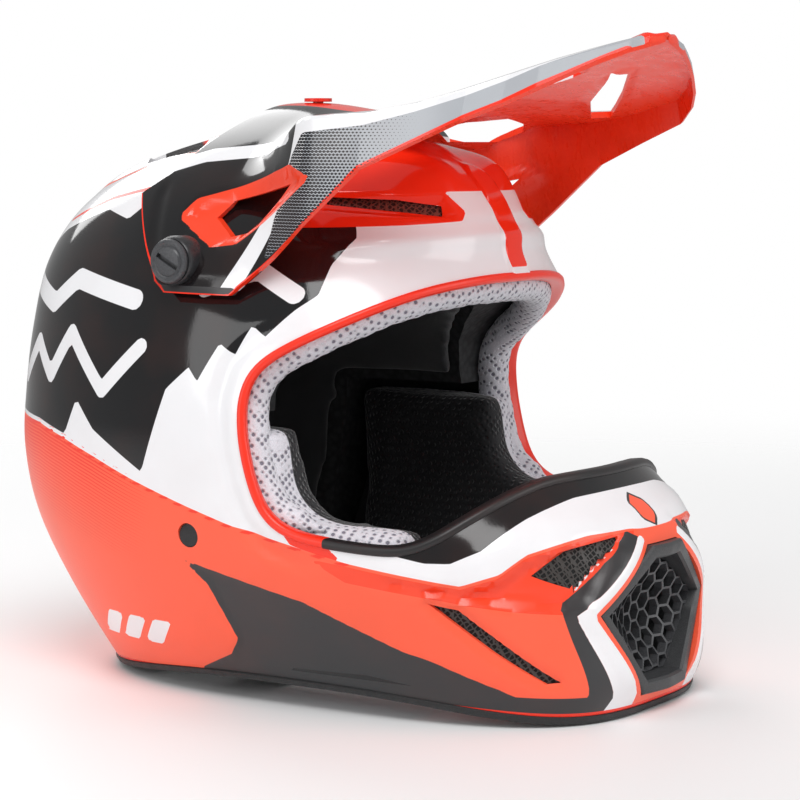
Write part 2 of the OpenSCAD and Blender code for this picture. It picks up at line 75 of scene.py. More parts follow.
KEEP = [(-305, 330), (31, 330), (32, 262), (39, 246), (45, 236), (57, 227), (30, 189), (23, 184.2),
        (-10, 183.6), (-305, 183.6)]
WINDOW = [(28, 217), (22, 225), (-36, 240.5), (-51, 235), (-8, 205.5), (5, 204)]
WINDOW_OPEN = [(10, 216.5), (4, 224), (-35, 232), (-12, 210.5), (-2, 208.5)]
FRONT_GAP = [(12, -131), (24, -134), (58, -112), (89, -89), (81, -83), (44, -103)]
REAR_GAP = [(32, -66), (74, -50), (94, -38), (86, -20), (66, -13), (46, -18), (36, -40)]
# Peak sections: y, edge half width and height, shoulder half width and height, centre height
PEAK = np.array([
    [-9, 112, 183, 104, 262, 265], [-50, 110, 217.5, 105, 261, 264], [-75, 108.7, 239, 104, 262, 266],
    [-99, 105, 249.5, 101, 266, 272], [-122, 102, 259.5, 97, 272, 280],
    [-134, 88.5, 266.3, 84, 277.5, 285], [-142, 75, 272.5, 71, 282, 288.5],
    [-149, 59, 279, 56, 286, 291.5], [-155, 43, 285, 40, 290, 294], [-160, 28, 289.5, 26, 293, 296],
    [-163.5, 12, 292.5, 11, 295, 297], [-165, 3, 293.5, 2.6, 296, 297.4]], float)
PEAK[:, [1, 3]] *= KX

# ---------------------------------------------------------------- paint colours, linear
ORANGE = (1.0, 0.115, 0.05)
RED = (0.94, 0.03, 0.008)
WHITE = (0.86, 0.86, 0.88)
BLACK = (0.006, 0.006, 0.007)
GRAPHITE = (0.03, 0.031, 0.033)
SILVER = (0.42, 0.44, 0.47)
# DEEP_ORANGE is the peak window frame's paint, and also painted shade in the chin bar's recess
DEEP_ORANGE = (0.96, 0.062, 0.02)
LINING = (0.012, 0.012, 0.014)


# ---------------------------------------------------------------- shell form
def level(z, top=H):
    """Section parameter of a height."""
    return 1 - np.sqrt(np.clip(1 - np.asarray(z, float) / top, 0, None))


KNOTS = level(STATIONS[:, 0])
SLOPES = np.diff(STATIONS, axis=0) / np.diff(KNOTS)[:, None]
GAPS = np.diff(KNOTS)
TANGENTS = np.vstack([
    SLOPES[0],
    (SLOPES[:-1] * GAPS[1:, None] + SLOPES[1:] * GAPS[:-1, None]) / (GAPS[1:] + GAPS[:-1])[:, None],
    SLOPES[-1]])


def station(s):
    """Shell section at each section parameter."""
    s = np.atleast_1d(s)
    i = np.clip(np.searchsorted(KNOTS, s, side="right") - 1, 0, len(KNOTS) - 2)
    u = np.clip((s - KNOTS[i]) / GAPS[i], 0, 1)[:, None]
    v, w = u ** 2, u ** 3
    gap = GAPS[i][:, None]
    return ((2 * w - 3 * v + 1) * STATIONS[i] + (w - 2 * v + u) * gap * TANGENTS[i]
            + (3 * v - 2 * w) * STATIONS[i + 1] + (w - v) * gap * TANGENTS[i + 1])


def power(v, p):
    """Power that keeps the sign."""
    return np.abs(v) ** p * np.sign(v)


def shell_grid(s, turn, inset=0.0):
    """Rings of points on the shell: one row per section, one column per turn angle (0 is the back)."""
    k = station(s)[:, :, None]
    c, q = np.cos(turn)[None], np.sin(turn)[None]
    rear = c > 0
    e = 2 / np.where(rear, k[:, 6], k[:, 5])
    reach = np.where(rear, k[:, 4] - k[:, 2], k[:, 2] - k[:, 3]) - inset
    x = np.maximum(k[:, 1] - inset, 0.01) * power(q, e)
    y = k[:, 2] + np.maximum(reach, 0.01) * power(c, e)
    z = ((H - inset) * (1 - (1 - np.atleast_1d(s)) ** 2))[:, None] + 0 * x
    z = z + EAR_RISE * q ** 4 * np.clip(1 - z / 70, 0, None) ** 1.5
    return np.stack([x, y, z], -1)


def half_width(y, z):
    """Half width of the shell at side-view points."""
    y, z = np.broadcast_arrays(np.asarray(y, float), np.asarray(z, float))
    k = station(level(np.clip(z.ravel(), 0, H - 0.01)))
    yy = y.ravel()
    rear = yy > k[:, 2]
    q = np.abs(yy - k[:, 2]) / np.where(rear, k[:, 4] - k[:, 2], k[:, 2] - k[:, 3])
    e = np.where(rear, k[:, 6], k[:, 5])
    return (k[:, 1] * np.clip(1 - q ** e, 0, None) ** (1 / e)).reshape(y.shape)


def even_turns(quarter):
    """Turn angles whose points lie evenly along the squarish sections."""
    u = np.arange(quarter) / quarter
    g = u ** 1.3 / (u ** 1.3 + (1 - u) ** 1.3)
    return np.concatenate([(i + g) * math.pi / 2 for i in range(4)])


# ---------------------------------------------------------------- flat shapes as signed distances
def to_line(line, a, b):
    """Distance in mm from points (a, b) to an open line."""
    best = np.full(a.shape, 1e9)
    for (x0, y0), (x1, y1) in zip(line[:-1], line[1:]):
        ex, ey = x1 - x0, y1 - y0
        t = np.clip(((a - x0) * ex + (b - y0) * ey) / (ex * ex + ey * ey), 0, 1)
        best = np.minimum(best, np.hypot(a - x0 - t * ex, b - y0 - t * ey))
    return best


def near_line(line, a, b, width):
    """Signed distance to a band of the given width along an open line."""
    return to_line(line, a, b) - width / 2


def inside_of(poly, a, b):
    """Signed distance from points (a, b) to a closed outline, below zero inside."""
    ring = [*poly, poly[0]]
    odd = np.zeros(a.shape, bool)
    for (x0, y0), (x1, y1) in zip(ring[:-1], ring[1:]):
        if y0 != y1:
            odd ^= ((y0 > b) != (y1 > b)) & (a < (x1 - x0) * (b - y0) / (y1 - y0) + x0)
    best = to_line(ring, a, b)
    return np.where(odd, -best, best)


def ease(t):
    """Smooth step from 0 to 1."""
    t = np.clip(t, 0, 1)
    return t * t * (3 - 2 * t)


def swell(distance, width):
    """Soft ridge that fades with the distance from its line."""
    return np.exp(-(distance / width) ** 2)


def only(f, g):
    """Shape f where g is also below zero."""
    return np.maximum(f, g)


def cut(f, g):
    """Shape f without shape g."""
    return np.maximum(f, -g)


# ---------------------------------------------------------------- livery outlines, side view (y, z)
EDGE = [(175, 124), (112, 120), (90, 115.4), (67, 108.8), (42, 100.4), (11.7, 91.2), (-15, 83.5),
        (-44, 77.2), (-70, 71)]
CHIN_EDGE = [(-93, 67), (-117, 63), (-131, 68), (-139, 76), (-153, 82), (-160, 82.5), (-175, 77)]
LOWER = EDGE + CHIN_EDGE + [(-175, -12), (175, -12)]
SILL = [(-58, 80), (-70, 77), (-85, 76.5), (-103, 72.5), (-113, 72.5), (-124, 78), (-134, 90), (-141, 96.5),
        (-150, 98.5), (-175, 98.5), (-175, 125), (-58, 125)]
CORNER = [(-25, 104), (-44, 77.4), (-69, 70.5), (-54, 85), (-36, 108)]
FIELD = [(178, 126), (112, 122), (88, 117), (78, 134), (66, 121), (35, 104), (20, 142), (8, 152), (3, 146),
         (-7, 163), (-14, 158), (-21, 171), (-27, 166), (-38, 178), (-45, 184), (-46, 197), (-52, 208),
         (-38, 236), (10, 240), (52, 228), (66, 215), (84, 219), (118, 209), (150, 192), (178, 170)]
BANDS = [([(178, 168), (138, 186), (104, 176), (86, 188), (44, 180)], 9.0),
         ([(178, 142), (150, 152), (134, 140), (116, 158), (101, 143), (84, 164), (60, 139), (36, 160)], 7.0),
         ([(28, 214), (6, 186), (-18, 194), (-36, 184)], 7.5)]
WEDGE = [(15.4, 66), (-46, 51.8), (-90, 33), (-102.6, 29.4), (-129, 17.8), (-154.5, 4), (-158, -9),
         (36, -9), (21, 13.5), (0, 22.6), (-6.5, 30.5), (3.5, 55.4)]
SPEAR = [(-26, 19), (-70, 20), (-98, 16), (-126, 9), (-150, -4), (-60, -4)]
MARK = [[(78, 34), (66, 34), (76, 22), (88, 22)], [(61, 34), (49, 34), (59, 22), (71, 22)],
        [(44, 34), (32, 34), (42, 22), (54, 22)]]
# recess under the chin bar's white band; its deeper orange paint is painted shade
SHELF = [(-55, 71), (-70, 69), (-93, 65), (-117, 61), (-131, 66), (-139, 74), (-153, 80), (-161, 81),
         (-164, 70), (-160, 53), (-151, 50.5), (-132, 53), (-117, 55.5), (-103, 58), (-69, 63)]
# line of a painted highlight: a thin white glint along the triangle vent's lower edge
TRIANGLE_GLINT = [(-151.8, 59.4), (-161.2, 80.8)]
BADGE = [(-7, 85), (0, 81.5), (7, 85), (7, 92), (0, 95.5), (-7, 92)]
BROW_SHELF = [(-20, 229), (-58, 227.5), (-71, 226), (-77, 219), (-78, 215.5), (-62, 216.8), (-33, 219.5),
              (-20, 220)]
# Front view (x, z)
WHITE_CHEVRON = [(13, 78), (18.5, 79.5), (59, 48.5), (40, 12), (47, -6), (27, -6), (20, 8.5), (50.8, 48)]
BLACK_CHEVRON = [(18.5, 79.5), (24, 82), (64.5, 51.5), (53, 15), (60, -6), (47, -6), (40, 12), (59, 48.5)]
BROW_PAINT = [(-1, 228), (31, 228), (25, 219), (29, 215), (56, 213.5), (100, 212), (110, 266), (-1, 266)]


def ear_lift(x, y, z):
    """Extra height of the shell's low sides."""
    k = station(level(np.clip(z, 0, H - 1)))
    bend = np.where(y > k[:, 2], k[:, 6], k[:, 5]) / 2
    q = np.clip(np.abs(x) / k[:, 1], 0, 1) ** bend
    return EAR_RISE * q ** 4 * np.clip(1 - z / 70, 0, None) ** 1.5


def shell_relief(x, y, z):
    """Height in mm of the moulded detail above the plain form."""
    ax = np.abs(x)
    front = ease((-y - 20) / 12)
    side = ease((ax - 20) / 10)
    port = inside_of(PORT, y, z)
    # recess under the chin bar's white band, with its upper and lower vents
    r = -4.2 * ease(-inside_of(SHELF, y, z) / 4) * ease((-y - 60) / 60) * side
    r = r - 2.0 * ease(1 - inside_of(SLIT, y, z) / 3) * side
    # rolled bead and groove round the port
    r = r + 1.1 * swell(port - 17, 5) * ease((z - 60) / 12) * ease((100 - z) / 12) * front
    r = r - 2.2 * swell(port - 11, 4.2) * ease((y + 62) / 25) * ease((178 - z) / 25)
    # brow: vent recess, fold, middle strip and the two scoops above it
    r = r - 2.8 * ease(-inside_of(BROW_SHELF, y, z) / 3.5) * front
    r = r + 1.8 * swell(z - 203 - 0.083 * (-32 - y), 4.5) * front * ease((96 - ax) / 30)
    r = r + 1.2 * ease(1 - near_line([(0, 192), (0, 232)], ax, z, 14) / 1.5) * front
    r = r + 4.2 * swell(ax - 26, 13) * swell(z - 237, 9) * front
    # dished wedge on the cheek and ribs along the crown
    r = r - 0.9 * ease(-inside_of(WEDGE, y, z) / 2)
    r = r + 1.5 * swell(ax - 30 - 0.12 * (y - 20), 4.5) * ease((z - 222) / 14) * ease((y + 40) / 30)
    # raised surrounds of the rear exhaust and the chin vent
    rear = near_line([(-46, 124), (-36, 78), (36, 78), (46, 124)], x, z, 4)
    r = r + 2.0 * ease(1 - rear / 4) * ease((y - 90) / 20)
    return r + 1.2 * ease(1 - np.abs(inside_of(VENT, x, z) - 5) / 5) * ease((-y - 120) / 15)


def shell_layers(x, y, z):
    """Paint layers from the bottom up: name, colour, roughness, signed distance in mm."""
    ax = np.abs(x)
    front = y + 118
    lower = inside_of(LOWER, y, z)
    field = inside_of(FIELD, y, z)
    bands = np.minimum.reduce([near_line(line, y, z, width) for line, width in BANDS])
    mark = np.minimum.reduce([inside_of(m, y, z) for m in MARK])
    hexagon = inside_of(VENT, ax, z)
    crown = np.maximum(ax - (36 - 0.12 * np.abs(y - 40)), 244 - z)
    notch = only(inside_of([(60, 30), (84, 36), (84, -36), (60, -30)], y, x), 240 - z)
    strip = only(ax - (7 + 0.03 * (z - 195)), np.maximum(y + 55, np.abs(z - 217) - 23))
    line_a = near_line([(121, 213), (87, 224), (62, 229), (39, 237), (28, 246)], y, z, 1.5)
    line_b = near_line([(120, 227), (75, 240), (51, 246), (13, 252)], y, z, 1.5)
    return [
        ("field", BLACK, 0.07, field),
        ("bands", WHITE, 0.1, only(bands, field - 1.5)),
        ("crown", RED, 0.12, crown),
        ("notch", BLACK, 0.1, notch),
        ("line_a", RED, 0.12, line_a),
        ("line_b", ORANGE, 0.12, line_b),
        ("brow", RED, 0.1, only(inside_of(BROW_PAINT, ax, z), y + 22)),
        ("strip", RED, 0.1, strip),
        ("corner", RED, 0.16, inside_of(CORNER, y, z)),
        ("lower", ORANGE, 0.36, lower),
        ("edge", RED, 0.3, only(near_line(EDGE, y, z, 3.4), lower)),
        # painted shade: the recess under the chin bar's white band is painted a deeper orange
        ("shelf_shade", DEEP_ORANGE, 0.24, only(inside_of(SHELF, y, z) - 0.6, 18 - ax)),
        ("wedge", GRAPHITE, 0.42, inside_of(WEDGE, y, z)),
        ("spear", BLACK, 0.08, inside_of(SPEAR, y, z)),
        ("mark", WHITE, 0.34, mark),
        ("keel", GRAPHITE, 0.4, np.maximum(z - ear_lift(x, y, z) - 13, y - 10)),
        # painted highlight: thin white glint along the triangle vent's lower edge
        ("lip", WHITE, 0.2, only(near_line(TRIANGLE_GLINT, y, z, 0.9), 20 - ax)),
        ("badge_edge", GRAPHITE, 0.3, only(inside_of(BADGE, x, z), front)),
        ("badge", ORANGE, 0.3, only(inside_of(BADGE, x, z) + 1, front)),
        ("sill", BLACK, 0.12, inside_of(SILL, y, z)),
        ("chevron_dark", GRAPHITE, 0.3, only(inside_of(BLACK_CHEVRON, ax, z), front)),
        ("chevron_white", WHITE, 0.2, only(inside_of(WHITE_CHEVRON, ax, z), front)),
        ("vent_edge", ORANGE, 0.3, only(np.minimum(hexagon - 2.6, only(z - 12, ax - 24)), front)),
        ("hem", RED, 0.2, z - ear_lift(x, y, z) - 5.7),
    ]


# ---------------------------------------------------------------- mesh helpers
def mesh_object(name, verts, faces, smooth=True):
    """New mesh object from points in millimetres."""
    mesh = bpy.data.meshes.new(name)
    mesh.from_pydata((np.asarray(verts, float).reshape(-1, 3) * MM).tolist(), [], faces)
    mesh.validate()
    if smooth:
        mesh.shade_smooth()
    obj = bpy.data.objects.new(name, mesh)
    bpy.context.scene.collection.objects.link(obj)
    return obj


def points_of(obj):
    """Vertex positions of an object in millimetres."""
    co = np.empty(len(obj.data.vertices) * 3, np.float32)
    obj.data.vertices.foreach_get("co", co)
    return co.reshape(-1, 3).astype(float) / MM


def face_data(obj, key):
    """One vector per face: its normal or centre."""
    values = np.empty(len(obj.data.polygons) * 3, np.float32)
    obj.data.polygons.foreach_get(key, values)
    return values.reshape(-1, 3)


def move_points(obj, points):
    """Set vertex positions given in millimetres."""
    obj.data.vertices.foreach_set("co", (points * MM).astype(np.float32).ravel())
    obj.data.update()


def strip_faces(rows, cols, closed=True, start=0, flip=False):
    """Quads between rows of points; closed joins the last column to the first."""
    out = []
    for i in range(rows - 1):
        for j in range(cols if closed else cols - 1):
            a, b = start + i * cols + j, start + i * cols + (j + 1) % cols
            quad = (a, b, b + cols, a + cols)
            out.append(quad[::-1] if flip else quad)
    return out


def prism(outline, axis, low, high):
    """Points and faces of an outline pushed along an axis from low to high."""
    n = len(outline)
    rows = []
    for h in (low, high):
        for a, b in outline:
            rows.append({"x": (h, a, b), "y": (a, h, b), "z": (a, b, h)}[axis])
    turn = sum(outline[i][0] * outline[(i + 1) % n][1] - outline[(i + 1) % n][0] * outline[i][1]
               for i in range(n))
    faces = [tuple(range(n))[::-1], tuple(range(n, 2 * n))]
    faces += [(i, (i + 1) % n, n + (i + 1) % n, n + i) for i in range(n)]
    if (turn < 0) != (axis == "y"):
        faces = [f[::-1] for f in faces]
    return rows, faces


def circle(a, b, r, n=40):
    return [(a + r * math.cos(2 * math.pi * i / n), b + r * math.sin(2 * math.pi * i / n)) for i in range(n)]


def flipped(outline):
    return [(-a, b) for a, b in outline][::-1]


def carve(obj, prisms, operation="DIFFERENCE"):
    """Cuts prisms out of an object, or keeps what lies in them."""
    verts, faces = [], []
    for rows, quads in prisms:
        faces += [tuple(i + len(verts) for i in f) for f in quads]
        verts += rows
    tool = mesh_object("tool", verts, faces, smooth=False)
    mod = obj.modifiers.new("carve", "BOOLEAN")
    mod.operation, mod.solver, mod.object = operation, "MANIFOLD", tool
    apply_modifiers(obj)
    bpy.data.objects.remove(tool)


def apply_modifiers(obj):
    graph = bpy.context.evaluated_depsgraph_get()
    mesh = bpy.data.meshes.new_from_object(obj.evaluated_get(graph))
    obj.modifiers.clear()
    old, obj.data = obj.data, mesh
    mesh.name = old.name


def soft_edges(obj, angle=30):
    """Smooth shading that breaks at sharp folds."""
    obj.data.shade_smooth()
    obj.data.set_sharp_from_angle(angle=math.radians(angle))


def put_attribute(obj, name, values):
    layer = obj.data.attributes.new(name, "FLOAT", "POINT")
    layer.data.foreach_set("value", np.asarray(values, np.float32))


def grid_normals(g):
    """Outward normals of a closed ring grid."""
    along = np.gradient(g, axis=0)
    around = np.roll(g, -1, 1) - np.roll(g, 1, 1)
    n = np.cross(around, along)
    n /= np.linalg.norm(n, axis=-1, keepdims=True) + 1e-9
    centre = np.array([0, 10, 110])
    flip = np.sign((n * (g - centre)).sum(-1, keepdims=True))
    return n * flip


def recalc(obj):
    """Turn all faces outward."""
    bm = bmesh.new()
    bm.from_mesh(obj.data)
    bmesh.ops.recalc_face_normals(bm, faces=bm.faces)
    bm.to_mesh(obj.data)
    bm.free()


def tube(name, rows, joined=False, crease=None, flip=False):
    """Skin over rings of points, capped at its ends or joined into a loop; creases are in degrees."""
    rows = np.asarray(rows, float)
    m, n = rows.shape[:2]
    last = (m - 1) * n
    faces = strip_faces(m, n, flip=flip)
    if joined:
        faces += [(last + j, last + (j + 1) % n, (j + 1) % n, j) for j in range(n)]
    else:
        faces += [tuple(range(n)), tuple(range(last, last + n))]
    obj = mesh_object(name, rows, faces)
    recalc(obj)
    if crease:
        soft_edges(obj, crease)
    return obj


def lathe(name, profile, origin, side, n=64):
    """Turned body about the X axis: profile holds (distance out, radius)."""
    x, y, z = origin
    turns = [2 * math.pi * j / n for j in range(n)]
    rows = [[(side * (x + a), y + r * math.cos(t), z + r * math.sin(t)) for t in turns] for a, r in profile]
    return tube(name, rows, crease=40, flip=side < 0)


def sweep(path, out, inner, profile):
    """Rings of profile points (along inner, along out) carried along a path."""
    return np.stack([path + inner * a + out * b for a, b in profile], 1)


def finish_piece(obj, body, slot, material, *nodes):
    """Paint a piece, ride it on its body and let it stand for its CAD nodes."""
    if material is not None:
        obj.data.materials.clear()
        obj.data.materials.append(material)
    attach(obj, body)
    if nodes:
        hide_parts(*nodes)
    return obj


# ---------------------------------------------------------------- node helpers
class Nodes:
    """Short forms for building a material's nodes."""

    def __init__(self, name):
        self.material = bpy.data.materials.new(name)
        self.material.use_nodes = True
        self.tree = self.material.node_tree
        self.shader = self.tree.nodes["Principled BSDF"]

    def put(self, socket, value):
        if hasattr(value, "links"):
            self.tree.links.new(value, socket)
        else:
            socket.default_value = value

    def math(self, op, a, b=0.0, c=0.0):
        n = self.tree.nodes.new("ShaderNodeMath")
        n.operation = op
        for socket, value in zip(n.inputs, (a, b, c)):
            self.put(socket, value)
        return n.outputs[0]

    def attribute(self, name):
        n = self.tree.nodes.new("ShaderNodeAttribute")
        n.attribute_name = name
        return n.outputs["Fac"]

    def place(self, scale=1.0, turn=(0, 0, 0)):
        """Object-space position in millimetres times a scale."""
        n = self.tree.nodes.new("ShaderNodeTexCoord")
        m = self.tree.nodes.new("ShaderNodeMapping")
        m.inputs["Scale"].default_value = (1000 * scale,) * 3
        m.inputs["Rotation"].default_value = turn
        self.tree.links.new(n.outputs["Object"], m.inputs["Vector"])
        return m.outputs[0]

    def noise(self, scale, detail=2.0, vector=None, stretch=(1, 1, 1)):
        """Noise with a feature size of about 1/scale millimetres."""
        n = self.tree.nodes.new("ShaderNodeTexNoise")
        n.inputs["Scale"].default_value = 1.0
        n.inputs["Detail"].default_value = detail
        m = self.tree.nodes.new("ShaderNodeMapping")
        m.inputs["Scale"].default_value = [scale * k for k in stretch]
        self.tree.links.new(vector or self.place(), m.inputs["Vector"])
        self.tree.links.new(m.outputs[0], n.inputs["Vector"])
        return n.outputs["Fac"]

    def texture(self, kind, vector, **values):
        """Texture node such as Voronoi or Wave with its inputs set."""
        n = self.tree.nodes.new("ShaderNodeTex" + kind)
        for key, value in values.items():
            n.inputs[key.replace("_", " ")].default_value = value
        self.tree.links.new(vector, n.inputs["Vector"])
        return n

    def ramp(self, value, low, high, a=0.0, b=1.0):
        """Smooth step of a value between two bounds."""
        n = self.tree.nodes.new("ShaderNodeMapRange")
        n.interpolation_type = "SMOOTHSTEP"
        for key, v in (("Value", value), ("From Min", low), ("From Max", high), ("To Min", a), ("To Max", b)):
            self.put(n.inputs[key], v)
        return n.outputs[0]

    def mix(self, factor, a, b):
        n = self.tree.nodes.new("ShaderNodeMix")
        n.data_type = "RGBA"
        self.put(n.inputs["Factor"], factor)
        for socket, value in ((n.inputs[6], a), (n.inputs[7], b)):
            self.put(socket, value if hasattr(value, "links") else (*value, 1))
        return n.outputs[2]

    def blend_value(self, factor, a, b):
        n = self.tree.nodes.new("ShaderNodeMix")
        self.put(n.inputs[0], factor)
        self.put(n.inputs[2], a)
        self.put(n.inputs[3], b)
        return n.outputs[0]

    def bump(self, height, strength, distance):
        n = self.tree.nodes.new("ShaderNodeBump")
        n.inputs["Strength"].default_value = strength
        n.inputs["Distance"].default_value = distance * MM
        self.put(n.inputs["Height"], height)
        self.tree.links.new(n.outputs[0], self.shader.inputs["Normal"])

    def surface(self, colour, roughness, **constants):
        self.put(self.shader.inputs["Base Color"], colour if hasattr(colour, "links") else (*colour, 1))
        self.put(self.shader.inputs["Roughness"], roughness)
        for key, value in constants.items():
            self.shader.inputs[key.replace("_", " ")].default_value = value
        return self.material


def painted(name, layers, base, base_rough, halftone=None):
    """Livery, with some painted shade and highlights among its layers, from signed distances stored on the
    mesh, with a fine clear-lacquer ripple.
    """
    n = Nodes(name)
    colour, rough = base, base_rough
    for key, tint, gloss in layers:
        mask = n.ramp(n.attribute(key), -0.12, 0.12, 1.0, 0.0)
        colour = n.mix(mask, colour, tint)
        rough = n.blend_value(mask, rough, gloss)
    if halftone:
        colour = halftone(n, colour)
    shade = n.noise(0.03, 3.0)
    colour = n.mix(n.ramp(shade, 0.35, 0.75, 0.0, 0.05), colour, (0.25, 0.06, 0.03))
    speck = n.noise(3.0, 3.0)
    rough = n.math("ADD", rough, n.ramp(speck, 0.3, 0.7, -0.02, 0.03))
    n.bump(n.noise(0.9, 2.0), 0.05, 0.2)
    return n.surface(colour, rough, IOR=1.5)


def fading_lines(n, colour):
    """Fine printed lines under the colour edge that thin out downwards and forwards."""
    depth = n.attribute("below")
    fade = n.attribute("fade")
    wave = n.math("FRACT", n.math("MULTIPLY", depth, 0.62))
    width = n.math("MULTIPLY", fade, 0.62)
    mask = n.math("MULTIPLY", n.ramp(n.math("SUBTRACT", wave, width), -0.06, 0.06, 1.0, 0.0),
                  n.ramp(fade, 0.02, 0.15))
    return n.mix(mask, colour, RED)


def weave_dots(n, colour):
    """Printed mesh of dark cells that fades to bare silver towards the tip."""
    y, z = n.attribute("side_y"), n.attribute("side_z")
    fade, zone = n.attribute("fade"), n.attribute("flank")
    row = n.math("MULTIPLY", z, 0.75)
    shift = n.math("MULTIPLY", n.math("FLOOR", row), 0.5)
    column = n.math("FRACT", n.math("ADD", n.math("MULTIPLY", y, 0.5), shift))
    cell_y = n.math("ABSOLUTE", n.math("SUBTRACT", column, 0.5))
    cell_z = n.math("ABSOLUTE", n.math("SUBTRACT", n.math("FRACT", row), 0.5))
    size = n.math("ADD", n.math("MULTIPLY", cell_y, 0.8), n.math("MULTIPLY", cell_z, 0.9))
    dots = n.ramp(n.math("SUBTRACT", size, n.math("MULTIPLY", fade, 0.62)), -0.05, 0.05, 1.0, 0.0)
    inside = n.ramp(zone, -0.12, 0.12, 1.0, 0.0)
    return n.mix(n.math("MULTIPLY", dots, inside), colour, (0.012, 0.013, 0.016))


def plastic(name, colour, rough, grain=1.6, strength=0.25, tone=None):
    """Moulded plastic or rubber with a fine spark-eroded grain and faint scuffs."""
    n = Nodes(name)
    speck = n.noise(grain, 4.0)
    scuff = n.noise(0.08, 4.0, stretch=(1, 3, 1))
    tint = n.mix(n.ramp(speck, 0.3, 0.7), colour, tone or tuple(min(1, c * 1.5 + 0.004) for c in colour))
    n.bump(speck, strength, 0.15)
    return n.surface(tint, n.math("ADD", rough, n.ramp(scuff, 0.3, 0.75, -0.06, 0.1)), IOR=1.48)


def metal(name, colour, rough):
    """Brushed metal."""
    n = Nodes(name)
    brush = n.noise(1.2, 3.0, stretch=(0.2, 2.5, 2.5))
    tint = n.mix(brush, colour, tuple(c * 0.75 for c in colour))
    n.bump(brush, 0.1, 0.05)
    return n.surface(tint, n.ramp(brush, 0.2, 0.8, rough - 0.06, rough + 0.08), Metallic=1.0)


def spacer_mesh(name, thread, hole):
    """Knitted spacer mesh: staggered holes through a ribbed knit, the holes a darker copy of the thread as
    painted shade, turning to the lining's near-black more than MESH_DEPTH in from the shell's side.
    """
    n = Nodes(name)
    cells = n.texture("Voronoi", n.place(0.36, (0.6, 0.5, 0.3)), Scale=1.0, Randomness=0.12)
    dist = cells.outputs["Distance"]
    hole_shade_mask = n.ramp(dist, 0.24, 0.36, 1.0, 0.0)
    knit = n.noise(2.2, 3.0)
    tint = n.mix(n.ramp(knit, 0.3, 0.7), thread, tuple(c * 0.84 for c in thread))
    tint = n.mix(hole_shade_mask, tint, hole)
    tint = n.mix(n.ramp(n.attribute("deep"), -0.4, 0.4, 1.0, 0.0), tint, LINING)
    height = n.math("ADD", n.ramp(dist, 0.2, 0.5), n.math("MULTIPLY", knit, 0.25))
    n.bump(height, 0.8, 0.9)
    return n.surface(tint, 0.8, Sheen_Weight=0.3, Sheen_Roughness=0.4)


def knit_fabric(name, colour):
    """Brushed knit with fine ribs, pile and soft tone changes."""
    n = Nodes(name)
    wave = n.texture("Wave", n.place(1.0, (0.4, 0.2, 0.7)), Scale=1.1, Distortion=1.5, Detail_Scale=2.0)
    pile = n.noise(2.5, 4.0)
    tone = n.noise(0.05, 3.0)
    tint = n.mix(n.ramp(tone, 0.3, 0.7), colour, tuple(c * 1.7 for c in colour))
    tint = n.mix(n.math("MULTIPLY", wave.outputs["Fac"], 0.35), tint, tuple(c * 0.5 for c in colour))
    n.bump(n.math("ADD", wave.outputs["Fac"], pile), 0.5, 0.4)
    return n.surface(tint, 0.85, Sheen_Weight=0.35, Sheen_Roughness=0.5)


def wire_mesh(name, wire, gap):
    """Pressed mesh: staggered slots between thin wires, the slots in the gap colour as painted shade of the
    hollow behind them.
    """
    n = Nodes(name)
    cells = n.texture("Voronoi", n.place(0.48, (0.5, 0.35, 0.2)), Scale=1.0, Randomness=0.35)
    cells.feature = "DISTANCE_TO_EDGE"
    line = n.ramp(cells.outputs["Distance"], 0.1, 0.2, 1.0, 0.0)
    n.bump(line, 0.9, 0.8)
    return n.surface(n.mix(line, gap, wire), n.ramp(line, 0, 1, 0.8, 0.35), IOR=1.45)


def bead_foam(name, colour):
    """Expanded foam of tight irregular beads."""
    n = Nodes(name)
    dist = n.texture("Voronoi", n.place(0.3), Scale=1.0).outputs["Distance"]
    n.bump(dist, 0.5, 0.5)
    return n.surface(n.mix(n.ramp(dist, 0.2, 0.8), colour, tuple(c * 0.5 for c in colour)), 0.75, IOR=1.4)


def webbing(name, colour):
    """Woven strap: diagonal ribs, a raised selvedge and a fine nap."""
    n = Nodes(name)
    wave = n.texture("Wave", n.place(), Scale=0.5)
    wave.bands_direction = "DIAGONAL"
    cross = n.noise(3.0, 2.0, stretch=(1, 0.3, 1))
    tint = n.mix(wave.outputs["Fac"], colour, tuple(c * 2.2 + 0.01 for c in colour))
    n.bump(n.math("ADD", wave.outputs["Fac"], cross), 0.6, 0.35)
    return n.surface(tint, 0.7, Sheen_Weight=0.25)


